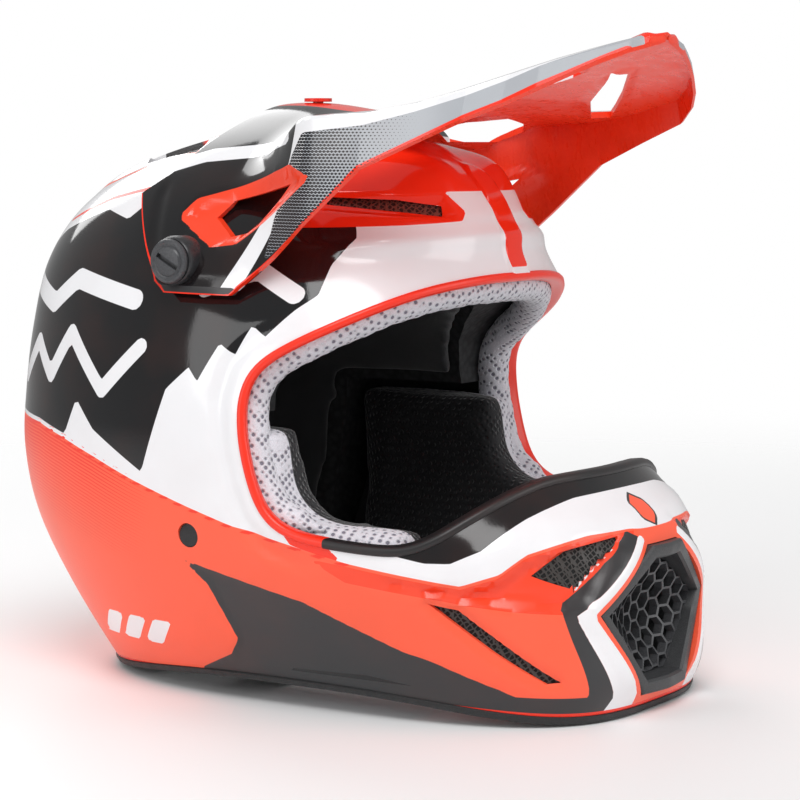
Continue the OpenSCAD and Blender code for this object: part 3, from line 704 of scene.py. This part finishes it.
# ---------------------------------------------------------------- shell
def make_shell():
    """Painted outer shell with its openings cut through and a plain black inside."""
    turn = even_turns(100)
    rows, inner_rows = 168, 46
    lowest = level(BASE_Z)
    s = lowest + (0.992 - lowest) * np.arange(rows) / (rows - 1)
    outer = shell_grid(s, turn)
    x, y, z = outer[..., 0], outer[..., 1], outer[..., 2]
    lift = shell_relief(x, y, z) * ease((z - 12) / 6)
    outer = outer + grid_normals(outer) * lift[..., None]
    s = lowest + (0.985 - lowest) * np.arange(inner_rows) / (inner_rows - 1)
    inner = shell_grid(s, turn, WALL)
    inner[0, :, 2] = outer[0, :, 2]
    n = len(turn)
    verts = np.concatenate([outer.reshape(-1, 3), [[0, 24, H]], inner.reshape(-1, 3), [[0, 24, H - WALL]]])
    top, start = rows * n, rows * n + 1
    end = start + inner_rows * n
    last, last_in = (rows - 1) * n, start + (inner_rows - 1) * n
    faces = strip_faces(rows, n, flip=True)
    faces += [((j + 1) % n + last, j + last, top) for j in range(n)]
    count = len(faces)
    faces += [(j, (j + 1) % n, start + (j + 1) % n, start + j) for j in range(n)]
    faces += strip_faces(inner_rows, n, start=start)
    faces += [(j + last_in, (j + 1) % n + last_in, end) for j in range(n)]
    shell = mesh_object("helmet_shell", verts, faces)
    shell.data.materials.append(bpy.data.materials.new("paint_slot"))
    shell.data.materials.append(bpy.data.materials.new("inner_slot"))
    index = np.zeros(len(shell.data.polygons), np.int32)
    index[count:] = 1
    shell.data.polygons.foreach_set("material_index", index)
    prisms = [prism(PORT, "x", -200, 200), prism(VENT, "y", -200, -110), prism(REAR_VENT, "y", 120, 220),
              prism(circle(0, PIVOT[0], 4.2), "z", H - 20, H + 20)]
    for outline, reach in ((TRIANGLE, 30), (SLIT, 52), (BROW, 24), (circle(*BOLT, 5.5), 70),
                           (circle(*PIVOT, 7.2), 70)):
        prisms += [prism(outline, "x", reach, 200), prism(outline, "x", -200, -reach)]
    for outline in (CROWN_VENT, flipped(CROWN_VENT)):
        prisms.append(prism(outline, "z", 200, 290))
    carve(shell, prisms)
    p = points_of(shell)
    layers = shell_layers(*p.T)
    for name, _, _, value in layers:
        put_attribute(shell, name, np.clip(value, -20, 20))
    below = near_line(EDGE, p[:, 1], p[:, 2], 0)
    put_attribute(shell, "below", below)
    fade = (1 - below / 46) * ease((p[:, 1] - 20) / 60) * (p[:, 2] < 124)
    put_attribute(shell, "fade", np.clip(fade, 0, 1) * 0.9 * (inside_of(LOWER, p[:, 1], p[:, 2]) < 0))
    soft_edges(shell, 38)
    paint = painted("shell_paint", [layer[:3] for layer in layers], WHITE, 0.12, fading_lines)
    shell.data.materials[0] = paint
    shell.data.materials[1] = plastic("shell_inside", (0.02, 0.02, 0.022), 0.6)
    return finish_piece(shell, "helmet", "shell_paint", None, "outer_shell")


# ---------------------------------------------------------------- peak
def peak_section(y, steps):
    """Outer face of half the peak at one station, from centre line to lower edge."""
    k = [np.interp(-y, -PEAK[:, 0], PEAK[:, i]) for i in range(1, 6)]
    w = float(ease((10 - y) / 60))
    u = np.linspace(0, 1, steps)
    top = u < 0.7
    f, g = u / 0.7, (u - 0.7) / 0.3
    shoulder, lower = math.atan2(k[2], k[3] - HOOD_Z), math.atan2(k[0], k[1] - HOOD_Z)
    angle = np.where(top, shoulder * f, shoulder + (lower - shoulder) * g)
    low, high = np.zeros(steps), np.full(steps, 200.0)
    for _ in range(18):
        m = (low + high) / 2
        z = HOOD_Z + m * np.cos(angle)
        hit = (z < H) & (m * np.abs(np.sin(angle)) < half_width(np.full(steps, y), z))
        low, high = np.where(hit, m, low), np.where(hit, high, m)
    r = low + PEAK_GAP + PEAK_WALL
    shell_like = np.stack([r * np.sin(angle), HOOD_Z + r * np.cos(angle)], -1)
    box = np.where(top[:, None],
                   np.stack([k[2] * f, k[4] + (k[3] - k[4]) * f ** 3], -1),
                   np.stack([k[2] + (k[0] - k[2]) * g, k[3] + (k[1] - k[3]) * g], -1))
    return (1 - w) * shell_like + w * box


def peak_relief(x, y, z):
    """Funnel round the side window, a shoulder crease and a bevel at the wing's rear."""
    window = inside_of(WINDOW, y, z)
    r = -3.6 * ease(-window / 5.0)
    bevel = near_line([(44, 228), (31, 190), (-12, 184)], y, z, 2)
    r = r - 0.9 * ease(1 - bevel / 3)
    hole = np.minimum(inside_of(FRONT_GAP, np.abs(x), y), inside_of(REAR_GAP, np.abs(x), y))
    r = r - 1.5 * ease(1 - hole / 5) * (z > 250)
    return r + 1.2 * swell(np.abs(x) - 12, 3) * ease((-y - 60) / 30)


def peak_layers(x, y, z):
    """Paint layers of the peak from the bottom up, as in shell_layers."""
    ax = np.abs(x)
    window = inside_of(WINDOW, y, z)
    side = inside_of([(60, 228), (28, 186), (-12, 182), (-16, 186), (-50, 219), (-62, 244), (-30, 262),
                      (20, 268), (60, 268)], y, z)
    flank = inside_of([(-26, 199), (-50, 216), (-75, 237), (-99, 247), (-122, 257), (-165, 288), (-166, 300),
                       (-134, 275.5), (-122, 269), (-99, 262.5), (-75, 257), (-44, 254), (-32, 236)], y, z)
    band = near_line([(-44, 262), (-40, 240), (-26, 216), (-8, 182)], y, z, 8.5)
    streak = near_line([(58, 236), (30, 244), (6, 246), (-30, 252)], y, z, 6)
    # painted highlight: the bevel along the wing's lower rear edge is painted graphite, lighter than the
    # black wing
    bevel_highlight = inside_of([(60, 191), (32, 191), (26, 187.5), (-12, 187), (-20, 180), (60, 180)], y, z)
    rim = near_line([(57, 226.5), (30, 189), (23, 184.6), (-10, 184), (-50, 218), (-75, 239.5), (-99, 250),
                     (-122, 260), (-134, 266.8), (-149, 279.4), (-160, 290)], y, z, 1.6)
    return [
        ("wing", BLACK, 0.08, side),
        ("flank", SILVER, 0.2, cut(flank, window)),
        ("sweep", WHITE, 0.1, streak),
        ("band", WHITE, 0.1, only(band, 75 - ax)),
        # painted highlight on the wing's lower rear bevel
        ("bevel", GRAPHITE, 0.3, bevel_highlight),
        ("frame", DEEP_ORANGE, 0.15, window),
        ("centre", RED, 0.15, np.maximum(ax - 16, 250 - z)),
        ("rim", RED, 0.15, rim),
    ]


def make_peak():
    """Peak with side windows and top openings, painted outside and plain red below."""
    steps = 56
    ys = np.concatenate([np.arange(63, -130, -1.7), np.arange(-130, -164.9, -0.9), PEAK[2:, 0]])
    ys = np.unique(ys)[::-1]
    outer, inner = [], []
    for y in ys:
        o = peak_section(y, steps)
        d = min(PEAK_WALL, 0.45 * o[int(steps * 0.67), 0] + 0.4)
        t = np.gradient(o, axis=0)
        t /= np.linalg.norm(t, axis=1)[:, None]
        o3 = np.stack([o[:, 0], np.full(steps, y), o[:, 1]], -1)
        normal = np.stack([-t[:, 1], np.zeros(steps), t[:, 0]], -1)
        normal[0] = (0, 0, 1)
        lift = peak_relief(*o3.T)[:, None]
        i3 = o3 - normal * d
        i3[:, 0] = np.maximum(i3[:, 0], 0)
        outer.append(o3 + normal * lift)
        inner.append(i3 + normal * np.minimum(lift, 0))
    outer, inner = np.array(outer), np.array(inner)
    mirror = np.array([-1, 1, 1])
    ring = np.concatenate([outer[:, ::-1] * mirror, outer[:, 1:], inner[:, ::-1], inner[:, 1:] * mirror], 1)
    m, n = ring.shape[:2]
    faces = strip_faces(m, n)
    half = 2 * steps - 2
    for row in (0, m - 1):
        for j in range(half):
            quad = (row * n + j, row * n + j + 1, row * n + n - 2 - j, row * n + n - 1 - j)
            faces.append(quad[::-1] if row else quad)
    peak = mesh_object("peak_shell", ring.reshape(-1, 3), faces)
    recalc(peak)
    carve(peak, [prism(KEEP, "x", -200, 200)], "INTERSECT")
    slot_hole = circle(0, PIVOT[0] + 9, 3.2)[:21] + circle(0, PIVOT[0] - 9, 3.2)[20:]
    gaps = [prism(g, "z", 250, 320) for g in (FRONT_GAP, REAR_GAP, flipped(FRONT_GAP), flipped(REAR_GAP))]
    carve(peak, gaps + [prism(WINDOW_OPEN, "x", -200, 200), prism(circle(*PIVOT, 4.1), "x", -200, 200),
                        prism(slot_hole, "z", 256, 296)])
    p = points_of(peak)
    layers = peak_layers(*p.T)
    for name, _, _, value in layers:
        put_attribute(peak, name, np.clip(value, -20, 20))
    put_attribute(peak, "side_y", p[:, 1])
    put_attribute(peak, "side_z", p[:, 2])
    put_attribute(peak, "fade", np.clip(1.05 + (p[:, 1] + 40) / 62, 0, 1) * 0.98)
    soft_edges(peak, 35)
    paint = painted("peak_paint", [layer[:3] for layer in layers], WHITE, 0.12, weave_dots)
    under = plastic("peak_underside", (0.93, 0.04, 0.01), 0.3, grain=0.8, strength=0.04,
                    tone=(0.96, 0.055, 0.016))
    peak.data.materials.clear()
    peak.data.materials.append(paint)
    peak.data.materials.append(under)
    normal, axis = face_data(peak, "normal"), face_data(peak, "center") - (0, 0, HOOD_Z * MM)
    axis[:, 1] = 0
    axis /= np.linalg.norm(axis, axis=1)[:, None]
    dot = (normal * axis).sum(1)
    peak.data.polygons.foreach_set("material_index", (dot < 0.12).astype(np.int32))
    peak.data.update()
    return finish_piece(peak, "peak", "peak_paint", None, "peak")


BOSS_IN = float(half_width(PIVOT[0], PIVOT[1] - 12)) + 2.5


def make_bosses(material):
    """Raised rings on the peak under the side screws."""
    profile = [(-5, 5), (-5, 11.2), (2.6, 11.2), (3.4, 10.8), (4.4, 10.6), (5, 10), (5, 5)]
    for side, word in ((1, "left"), (-1, "right")):
        ring = lathe("peak_boss_" + word, profile, (BOSS_IN, *PIVOT), side)
        finish_piece(ring, "peak", "peak_paint", material)


def make_screws():
    """Side screws with a coin slot turned a little from level."""
    dark = plastic("screw_plastic", (0.045, 0.046, 0.05), 0.34, 1.2, 0.2)
    head = [(-14, 2.9), (-0.6, 3), (-0.6, 3.9), (5.3, 3.9), (5.3, 9.6), (6.6, 9.9), (7.6, 9.4), (8.1, 8.3),
            (7.5, 7.4), (7.4, 6.8), (8.0, 6.2), (8.2, 4), (8.3, 0.05)]
    y, z = PIVOT
    half, thick = 6.2, 1.1
    c, s = math.cos(0.5), math.sin(0.5)
    slot = [(y + a * c - b * s, z + a * s + b * c)
            for a, b in ((-half, -thick), (half, -thick), (half, thick), (-half, thick))]
    for side, word in ((1, "left"), (-1, "right")):
        screw = lathe("peak_screw_" + word, head, (BOSS_IN, y, z), side)
        low, high = sorted((side * (BOSS_IN + 6), side * (BOSS_IN + 12)))
        carve(screw, [prism(slot, "x", low, high)])
        soft_edges(screw, 35)
        finish_piece(screw, "screw_" + word, "screw_metal", dark, "peak_side_screw_" + word)


# ---------------------------------------------------------------- swept trims and padding
def port_path(count=260):
    """Closed loop of points round the eye port, with the outward and inward directions at each."""
    line = np.array(PORT[1:-1], float)
    fine = []
    for i in range(len(line) - 1):
        fine += [line[i] + (line[i + 1] - line[i]) * t for t in np.linspace(0, 1, 12, endpoint=False)]
    fine = np.array(fine + [line[-1]])
    kernel = np.ones(9) / 9
    padded_line = np.vstack([np.repeat(fine[:1], 4, 0), fine, np.repeat(fine[-1:], 4, 0)])
    fine = np.stack([np.convolve(padded_line[:, i], kernel, "valid") for i in range(2)], -1)
    side = np.column_stack([half_width(fine[:, 0], fine[:, 1]), fine])
    side = side[side[:, 0] > 0]
    right = np.vstack([front_arc(side[0]), side, front_arc(side[-1])[::-1]])
    loop = np.vstack([right, (right * (-1, 1, 1))[::-1][1:-1]])
    step = np.linalg.norm(np.roll(loop, -1, 0) - loop, axis=1)
    at = np.concatenate([[0], np.cumsum(step)])
    closed = np.vstack([loop, loop[:1]])
    want = np.linspace(0, at[-1], count, endpoint=False)
    loop = np.stack([np.interp(want, at, closed[:, i]) for i in range(3)], -1)
    for _ in range(3):
        loop = (np.roll(loop, 1, 0) + 2 * loop + np.roll(loop, -1, 0)) / 4
    centre = np.array([0, 20, 130])
    out = loop - centre
    out[:, 2] *= 0.6
    out /= np.linalg.norm(out, axis=1)[:, None]
    tangent = np.roll(loop, -1, 0) - np.roll(loop, 1, 0)
    tangent /= np.linalg.norm(tangent, axis=1)[:, None]
    out -= (out * tangent).sum(1)[:, None] * tangent
    out /= np.linalg.norm(out, axis=1)[:, None]
    inner = np.cross(out, tangent)
    hub = np.array([0, -100, 135])
    inner *= np.sign((inner * (hub - loop)).sum(1))[:, None]
    return loop, out, inner


def front_arc(end, count=24):
    """Points across the front of the shell at one height, from the middle to the given point."""
    width, mid, front, bend = station(level(end[2]))[0][[1, 2, 3, 5]]
    x = np.linspace(0, end[0], count, endpoint=False)
    y = mid - (mid - front) * np.clip(1 - (x / width) ** bend, 0, None) ** (1 / bend)
    return np.stack([x, y, np.full(count, end[2])], -1)


def make_port_trim():
    """Rubber lip round the eye port, red above and black along the sill."""
    path, out, inner = port_path()
    lip = [(-1.6, -0.6), (-1.4, 0.7), (-0.4, 1.3), (1.2, 1.1), (2.2, 0.2), (2.4, -1.6), (1.6, -5.6),
           (0.2, -5.9), (0.1, -0.8)]
    trim = tube("port_trim", sweep(path, out, inner, lip), joined=True, crease=60)
    p = points_of(trim)
    put_attribute(trim, "sill", np.maximum(p[:, 1] + 60, p[:, 2] - 118))
    paint = painted("port_rubber", [("sill", (0.012, 0.012, 0.013), 0.4)], RED, 0.32)
    return finish_piece(trim, "helmet", "port_rubber", paint, "eye_port_trim")


def make_brow_roll(mesh_fabric):
    """Padded roll round the port from cheek to cheek, gathered a little along its length."""
    path, out, inner = port_path()
    bare = np.flatnonzero((path[:, 2] < 97) & (path[:, 1] < -56))
    order = np.concatenate([np.arange(bare[-1] + 1, len(path)), np.arange(bare[0])])
    path, out, inner = path[order], out[order], inner[order]
    angle = np.linspace(0, 2 * math.pi, 28, endpoint=False)
    profile = [(1.0 + 7.5 * math.cos(t), -14.0 + 8.0 * math.sin(t)) for t in angle]
    rows = sweep(path, out, inner, profile)
    mid = rows.mean(1, keepdims=True)
    count = np.arange(len(path))
    gather = 1 + 0.025 * np.sin(count * 1.9) + 0.02 * np.sin(count * 0.7)
    gather *= 0.15 + 0.85 * ease(np.minimum(count, len(path) - 1 - count) / 6)
    roll = tube("brow_roll_pad", mid + (rows - mid) * gather[:, None, None])
    put_attribute(roll, "deep", np.full(len(roll.data.vertices), 20.0))
    return finish_piece(roll, "helmet", "mesh_fabric", mesh_fabric, "brow_roll")


MESH_DEPTH = 25.0
CLOTH_FRAMES = 20


def soften(node, name, voxel, pressure, cap, material, slot):
    """Padded copy of a plain CAD solid: remeshed, puffed by a cloth simulation and smoothed.

    Voxel size and the cap on how far a point moves are in millimetres.
    """
    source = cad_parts[node]
    obj = bpy.data.objects.new(name, source.data.copy())
    bpy.context.scene.collection.objects.link(obj)
    remesh = obj.modifiers.new("remesh", "REMESH")
    remesh.mode, remesh.voxel_size = "VOXEL", voxel * MM
    relax = obj.modifiers.new("relax", "SMOOTH")
    relax.factor, relax.iterations = 0.6, 6
    apply_modifiers(obj)
    if pressure:
        rest = points_of(obj)
        cloth = obj.modifiers.new("cloth", "CLOTH")
        cloth.settings.use_pressure = True
        cloth.settings.uniform_pressure_force = pressure
        cloth.settings.effector_weights.gravity = 0
        cloth.settings.quality = 4
        cloth.settings.tension_stiffness = 12
        cloth.settings.bending_stiffness = 2
        scene = bpy.context.scene
        for f in range(1, CLOTH_FRAMES + 1):
            scene.frame_set(f)
        apply_modifiers(obj)
        moved = points_of(obj) - rest
        length = np.linalg.norm(moved, axis=1)[:, None] + 1e-9
        move_points(obj, rest + moved * np.minimum(1, cap / length))
        scene.frame_set(1)
    sub = obj.modifiers.new("sub", "SUBSURF")
    sub.levels = sub.render_levels = 1
    apply_modifiers(obj)
    obj.data.shade_smooth()
    p = points_of(obj)
    put_attribute(obj, "deep", MESH_DEPTH - half_width(p[:, 1], p[:, 2]) + np.abs(p[:, 0]))
    return finish_piece(obj, "helmet", slot, material, node)


def make_rim_trim():
    """Rubber channel round the shell's lower edge, cut flat where it would pass below the ground."""
    turn = even_turns(70)
    a = shell_grid(level(BASE_Z), turn)[0]
    b = shell_grid(level(16), turn)[0]
    up = (b - a) / np.linalg.norm(b - a, axis=1)[:, None]
    tangent = np.roll(a, -1, 0) - np.roll(a, 1, 0)
    tangent /= np.linalg.norm(tangent, axis=1)[:, None]
    out = np.cross(tangent, up)
    out *= np.sign((out * a).sum(1))[:, None]
    profile = [(-1.6, -5.4), (-2.0, -4.4), (-2.0, -0.6), (-1.4, 0.5), (-0.6, 0.9), (1.4, 1.0), (2.2, 0.8),
               (2.4, 0.2), (2.4, -0.3), (-0.6, -0.6), (-0.6, -4.2), (5, -4.6), (5, -5.6)]
    rows = sweep(a, out, up, profile)
    rows[..., 2] = np.maximum(rows[..., 2], 0)
    rim = tube("rim_trim", rows, joined=True, crease=50)
    rubber = plastic("rim_rubber", (0.012, 0.012, 0.013), 0.5, 1.4, 0.3)
    return finish_piece(rim, "helmet", "rim_rubber", rubber, "lower_rim_trim")


# ---------------------------------------------------------------- vents
def vent_plate(name, outline, side, depth, material, *nodes):
    """Thin mesh plate behind an opening in the side, set below the shell's surface."""
    step, overlap, thickness = 1.2, 2.2, 0.8
    line = np.array(outline, float)
    low, high = line.min(0) - 3, line.max(0) + 3
    gy, gz = np.meshgrid(np.arange(low[0], high[0], step), np.arange(low[1], high[1], step))
    ok = inside_of(outline, gy, gz) < overlap
    x = side * (np.clip(half_width(gy, gz), 1, None) - depth)
    number = -np.ones(gy.shape, int)
    number[ok] = np.arange(ok.sum())
    faces = []
    for i in range(gy.shape[0] - 1):
        for j in range(gy.shape[1] - 1):
            quad = (number[i, j], number[i, j + 1], number[i + 1, j + 1], number[i + 1, j])
            if min(quad) >= 0:
                faces.append(quad if side > 0 else quad[::-1])
    obj = mesh_object(name, np.stack([x[ok], gy[ok], gz[ok]], -1), faces)
    thick = obj.modifiers.new("thick", "SOLIDIFY")
    thick.thickness, thick.offset = thickness * MM, -1
    apply_modifiers(obj)
    return finish_piece(obj, "helmet", "vent_mesh", material, *nodes)


def shrink(outline, mid, amount):
    """Outline with each corner moved towards the middle by an amount in millimetres."""
    out = []
    for a, b in outline:
        length = math.hypot(a - mid[0], b - mid[1])
        k = 1 - amount / length
        out.append((mid[0] + (a - mid[0]) * k, mid[1] + (b - mid[1]) * k))
    return out


def make_frame(material):
    """Chin vent surround: six-sided ring with a rounded face and deep sloping walls."""
    mid = (0, VENT_MID)
    rows = []
    for amount, back in ((0.5, 27), (0.4, 1.2), (1.2, 0.2), (2.4, 0), (6.2, 0.6), (7.2, 2.0), (8.6, 26)):
        ring = shrink(VENT, mid, amount)
        line = []
        for (a, b), (c, d) in zip(ring, ring[1:] + ring[:1]):
            for t in np.linspace(0, 1, 14, endpoint=False):
                x, z = a + (c - a) * t, b + (d - b) * t
                face = -170.0 + 9.5 * (abs(x) / 48) ** 1.4
                line.append((x, min(face + back, -143.2), z))
        rows.append(line)
    obj = tube("chin_vent_frame", rows, joined=True, crease=28)
    return finish_piece(obj, "helmet", "vent_plastic", material, "mouth_vent_frame")


def make_grille(material):
    """Honeycomb of thin deep ribs dished into the chin vent."""
    verts, faces = [], []
    size, wall, front, back = 4.75, 0.62, -160.0, -156.0
    for i in range(-8, 9):
        for j in range(-6, 7):
            cx = i * size * 1.5
            cz = VENT_MID + (j + (i % 2) * 0.5) * size * math.sqrt(3)
            base = len(verts)
            for y in (front, back):
                for r in (size + 0.01, size - wall):
                    verts += [(cx + r * math.cos(math.pi / 3 * k), y, cz + r * math.sin(math.pi / 3 * k))
                              for k in range(6)]
            cell = []
            for k in range(6):
                m = (k + 1) % 6
                cell += [(k, m, 6 + m, 6 + k), (12 + m, 12 + k, 18 + k, 18 + m),
                         (6 + k, 6 + m, 18 + m, 18 + k)]
            faces.append([tuple(base + i for i in quad) for quad in cell])
    line = shrink(VENT, (0, VENT_MID), 8.2)
    v = np.array(verts)
    centre = v.reshape(len(faces), -1, 3).mean(1)
    good = inside_of(line, centre[:, 0], centre[:, 2]) < 3.4
    keep = [quad for cell, ok in zip(faces, good) if ok for quad in cell]
    away = v - (0, 0, VENT_MID)
    away[:, 1] = 0
    away /= np.linalg.norm(away, axis=1)[:, None] + 1e-9
    v = v - away * np.clip(inside_of(line, v[:, 0], v[:, 2]), 0, 40)[:, None]
    v[:, 1] += 1.5 + 7.5 * ease(-inside_of(line, v[:, 0], v[:, 2]) / 22)
    obj = mesh_object("chin_vent_grille", v, keep, smooth=False)
    return finish_piece(obj, "helmet", "vent_plastic", material, "mouth_vent_grille")


# ---------------------------------------------------------------- chin strap
def make_strap(name, side, path, material, node):
    """Flat webbing with raised edges along a path in the XZ plane."""
    line = np.array(path, float)
    step = np.concatenate([[0], np.cumsum(np.linalg.norm(np.diff(line, axis=0), axis=1))])
    at = np.arange(0, step[-1], 1.6)
    line = np.stack([np.interp(at, step, line[:, i]) for i in range(2)], -1)
    t = np.gradient(line, axis=0)
    t /= np.linalg.norm(t, axis=1)[:, None]
    normal = np.stack([t[:, 1], -t[:, 0]], -1)
    across = np.linspace(-11.8, 11.8, 15)
    edge = 0.75 + 0.2 * (np.abs(across) > 9)
    profile = [(a, e) for a, e in zip(across, edge)] + [(a, -e) for a, e in zip(across[::-1], edge[::-1])]
    rows = []
    for (x, z), (nx, nz) in zip(line, normal):
        rows.append([(side * (x + nx * h), BOLT[0] + a, z + nz * h) for a, h in profile])
    return finish_piece(tube(name, rows, crease=50), "helmet", "webbing", material, node)


def make_straps():
    """Both halves of the chin strap, from the bolts down the inner walls and across."""
    cloth = webbing("strap_webbing", (0.02, 0.02, 0.023))

    def wall(z):
        return float(half_width(BOLT[0], z)) - WALL - 3.2

    down = [(wall(z) - 0.4, z) for z in (88.5, 77.5, 60, 44, 32)] + [(wall(20) - 5, 21)]
    make_strap("strap_with_rings", 1, down + [(80, 13), (70, 11), (56, 10.5)], cloth, "strap_short")
    make_strap("strap_free_end", -1, down + [(80, 12), (60, 7.5), (20, 5.2), (-12, 4.6)], cloth, "strap_long")


# ---------------------------------------------------------------- studio
def make_studio():
    """Soft studio light, a pale floor that fades into the white surround, and the camera."""
    scene = bpy.context.scene
    world = bpy.data.worlds.new("studio")
    scene.world = world
    world.use_nodes = True
    sky = world.node_tree
    seen = sky.nodes.new("ShaderNodeLightPath").outputs["Is Camera Ray"]
    strength = sky.nodes.new("ShaderNodeMapRange")
    strength.inputs["To Min"].default_value = 0.42
    sky.links.new(seen, strength.inputs["Value"])
    sky.nodes["Background"].inputs["Color"].default_value = (1, 1, 1, 1)
    sky.links.new(strength.outputs[0], sky.nodes["Background"].inputs["Strength"])
    scene.view_settings.view_transform = "Standard"
    floor = mesh_object("floor", [(-4000, -4000, 0), (4000, -4000, 0), (4000, 4000, 0), (-4000, 4000, 0)],
                        [(0, 1, 2, 3)], smooth=False)
    n = Nodes("floor")
    tone = n.noise(0.002, 2.0)
    n.surface(n.mix(tone, (0.93, 0.93, 0.93), (0.91, 0.91, 0.915)), 0.6)
    distance = n.tree.nodes.new("ShaderNodeVectorMath")
    distance.operation = "LENGTH"
    n.tree.links.new(n.place(), distance.inputs[0])
    n.put(n.shader.inputs["Alpha"], n.ramp(distance.outputs["Value"], 350, 1300, 1.0, 0.0))
    floor.data.materials.append(n.material)
    aim = Vector((0, -0.03, 0.13))
    for name, at, size, power_ in (("key", (-1.3, -1.0, 2.3), 1.5, 42), ("side", (-2.4, 0.9, 0.9), 1.4, 16),
                                   ("front", (0.6, -2.4, 0.9), 1.4, 14), ("back", (1.2, 1.9, 1.6), 1.5, 22)):
        light = bpy.data.lights.new(name, "AREA")
        light.shape, light.size, light.energy = "SQUARE", size, power_
        obj = bpy.data.objects.new(name, light)
        obj.location = at
        obj.rotation_euler = (aim - Vector(at)).to_track_quat("-Z", "Y").to_euler()
        scene.collection.objects.link(obj)
    camera = bpy.data.cameras.new("camera")
    camera.sensor_width, camera.lens = 36, 119.7
    eye = bpy.data.objects.new("camera", camera)
    scene.collection.objects.link(eye)
    target = Vector((0, -0.027, 0.130))
    azimuth, pitch, distance = math.radians(57), math.radians(5.56), 1.243
    level_part = math.cos(pitch)
    back = Vector((-math.sin(azimuth) * level_part, -math.cos(azimuth) * level_part, math.sin(pitch)))
    eye.location = target + back * distance
    eye.rotation_euler = (-back).to_track_quat("-Z", "Y").to_euler()
    scene.camera = eye


# ---------------------------------------------------------------- assembly
make_studio()
make_shell()
make_peak()
make_bosses(plastic("boss_plastic", (0.02, 0.02, 0.022), 0.3, 1.2, 0.2))
make_screws()
make_port_trim()
make_rim_trim()
# the hole colour is painted shade: a darker copy of the thread colour
spacer = spacer_mesh("spacer_mesh", (0.78, 0.77, 0.83), (0.2, 0.19, 0.24))
lining = knit_fabric("liner_knit", LINING)
make_brow_roll(spacer)
soften("cheek_pad_left", "cheek_cushion_left", 5, 3, 3, spacer, "mesh_fabric")
soften("cheek_pad_right", "cheek_cushion_right", 5, 3, 3, spacer, "mesh_fabric")
soften("comfort_liner", "crown_liner", 4, 0, 2, lining, "liner_fabric")
soften("neck_roll", "neck_cushion", 5, 2, 2, lining, "liner_fabric")
vent_black = plastic("vent_plastic", (0.035, 0.036, 0.038), 0.42, 1.8, 0.3)
make_frame(vent_black)
make_grille(plastic("grille_plastic", (0.055, 0.056, 0.06), 0.38, 1.8, 0.2))
# gap colours are painted shade: the dark hollow behind the chin vents and the shaded orange recess behind the
# brow vents
chin_wire = wire_mesh("chin_wire", (0.05, 0.045, 0.042), (0.002, 0.002, 0.002))
brow_wire = wire_mesh("brow_wire", (0.16, 0.05, 0.035), (0.03, 0.002, 0.001))
for side, word in ((1, "left"), (-1, "right")):
    vent_plate("chin_triangle_mesh_" + word, TRIANGLE, side, 7.5, chin_wire, "chin_mesh_upper_" + word)
    vent_plate("chin_slit_mesh_" + word, SLIT, side, 4.2, chin_wire, "chin_mesh_lower_" + word)
    vent_plate("brow_vent_mesh_" + word, BROW, side, 6.5, brow_wire, "brow_mesh_" + word)
make_straps()
foam = bead_foam("bead_foam", (0.03, 0.03, 0.032))
steel = metal("zinc_steel", (0.62, 0.62, 0.64), 0.3)
CARRIED = {
    "crown_foam": foam, "chin_foam": foam,
    "mouth_vent_filter": bead_foam("filter_foam", (0.006, 0.006, 0.006)),
    "peak_centre_screw": plastic("centre_screw", (0.6, 0.02, 0.006), 0.35),
    "peak_inserts": metal("insert_brass", (0.75, 0.52, 0.22), 0.3),
    "rear_vent_insert": vent_black, "bolt_covers": plastic("cover_plastic", (0.01, 0.01, 0.011), 0.5),
    "crown_vent_meshes": chin_wire, "cheek_pad_studs": vent_black,
    "strap_bolts": steel, "ring_upper": steel, "ring_lower": steel, "strap_snap": steel,
}
for node, material in CARRIED.items():
    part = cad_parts[node]
    part.data.materials.clear()
    part.data.materials.append(material)
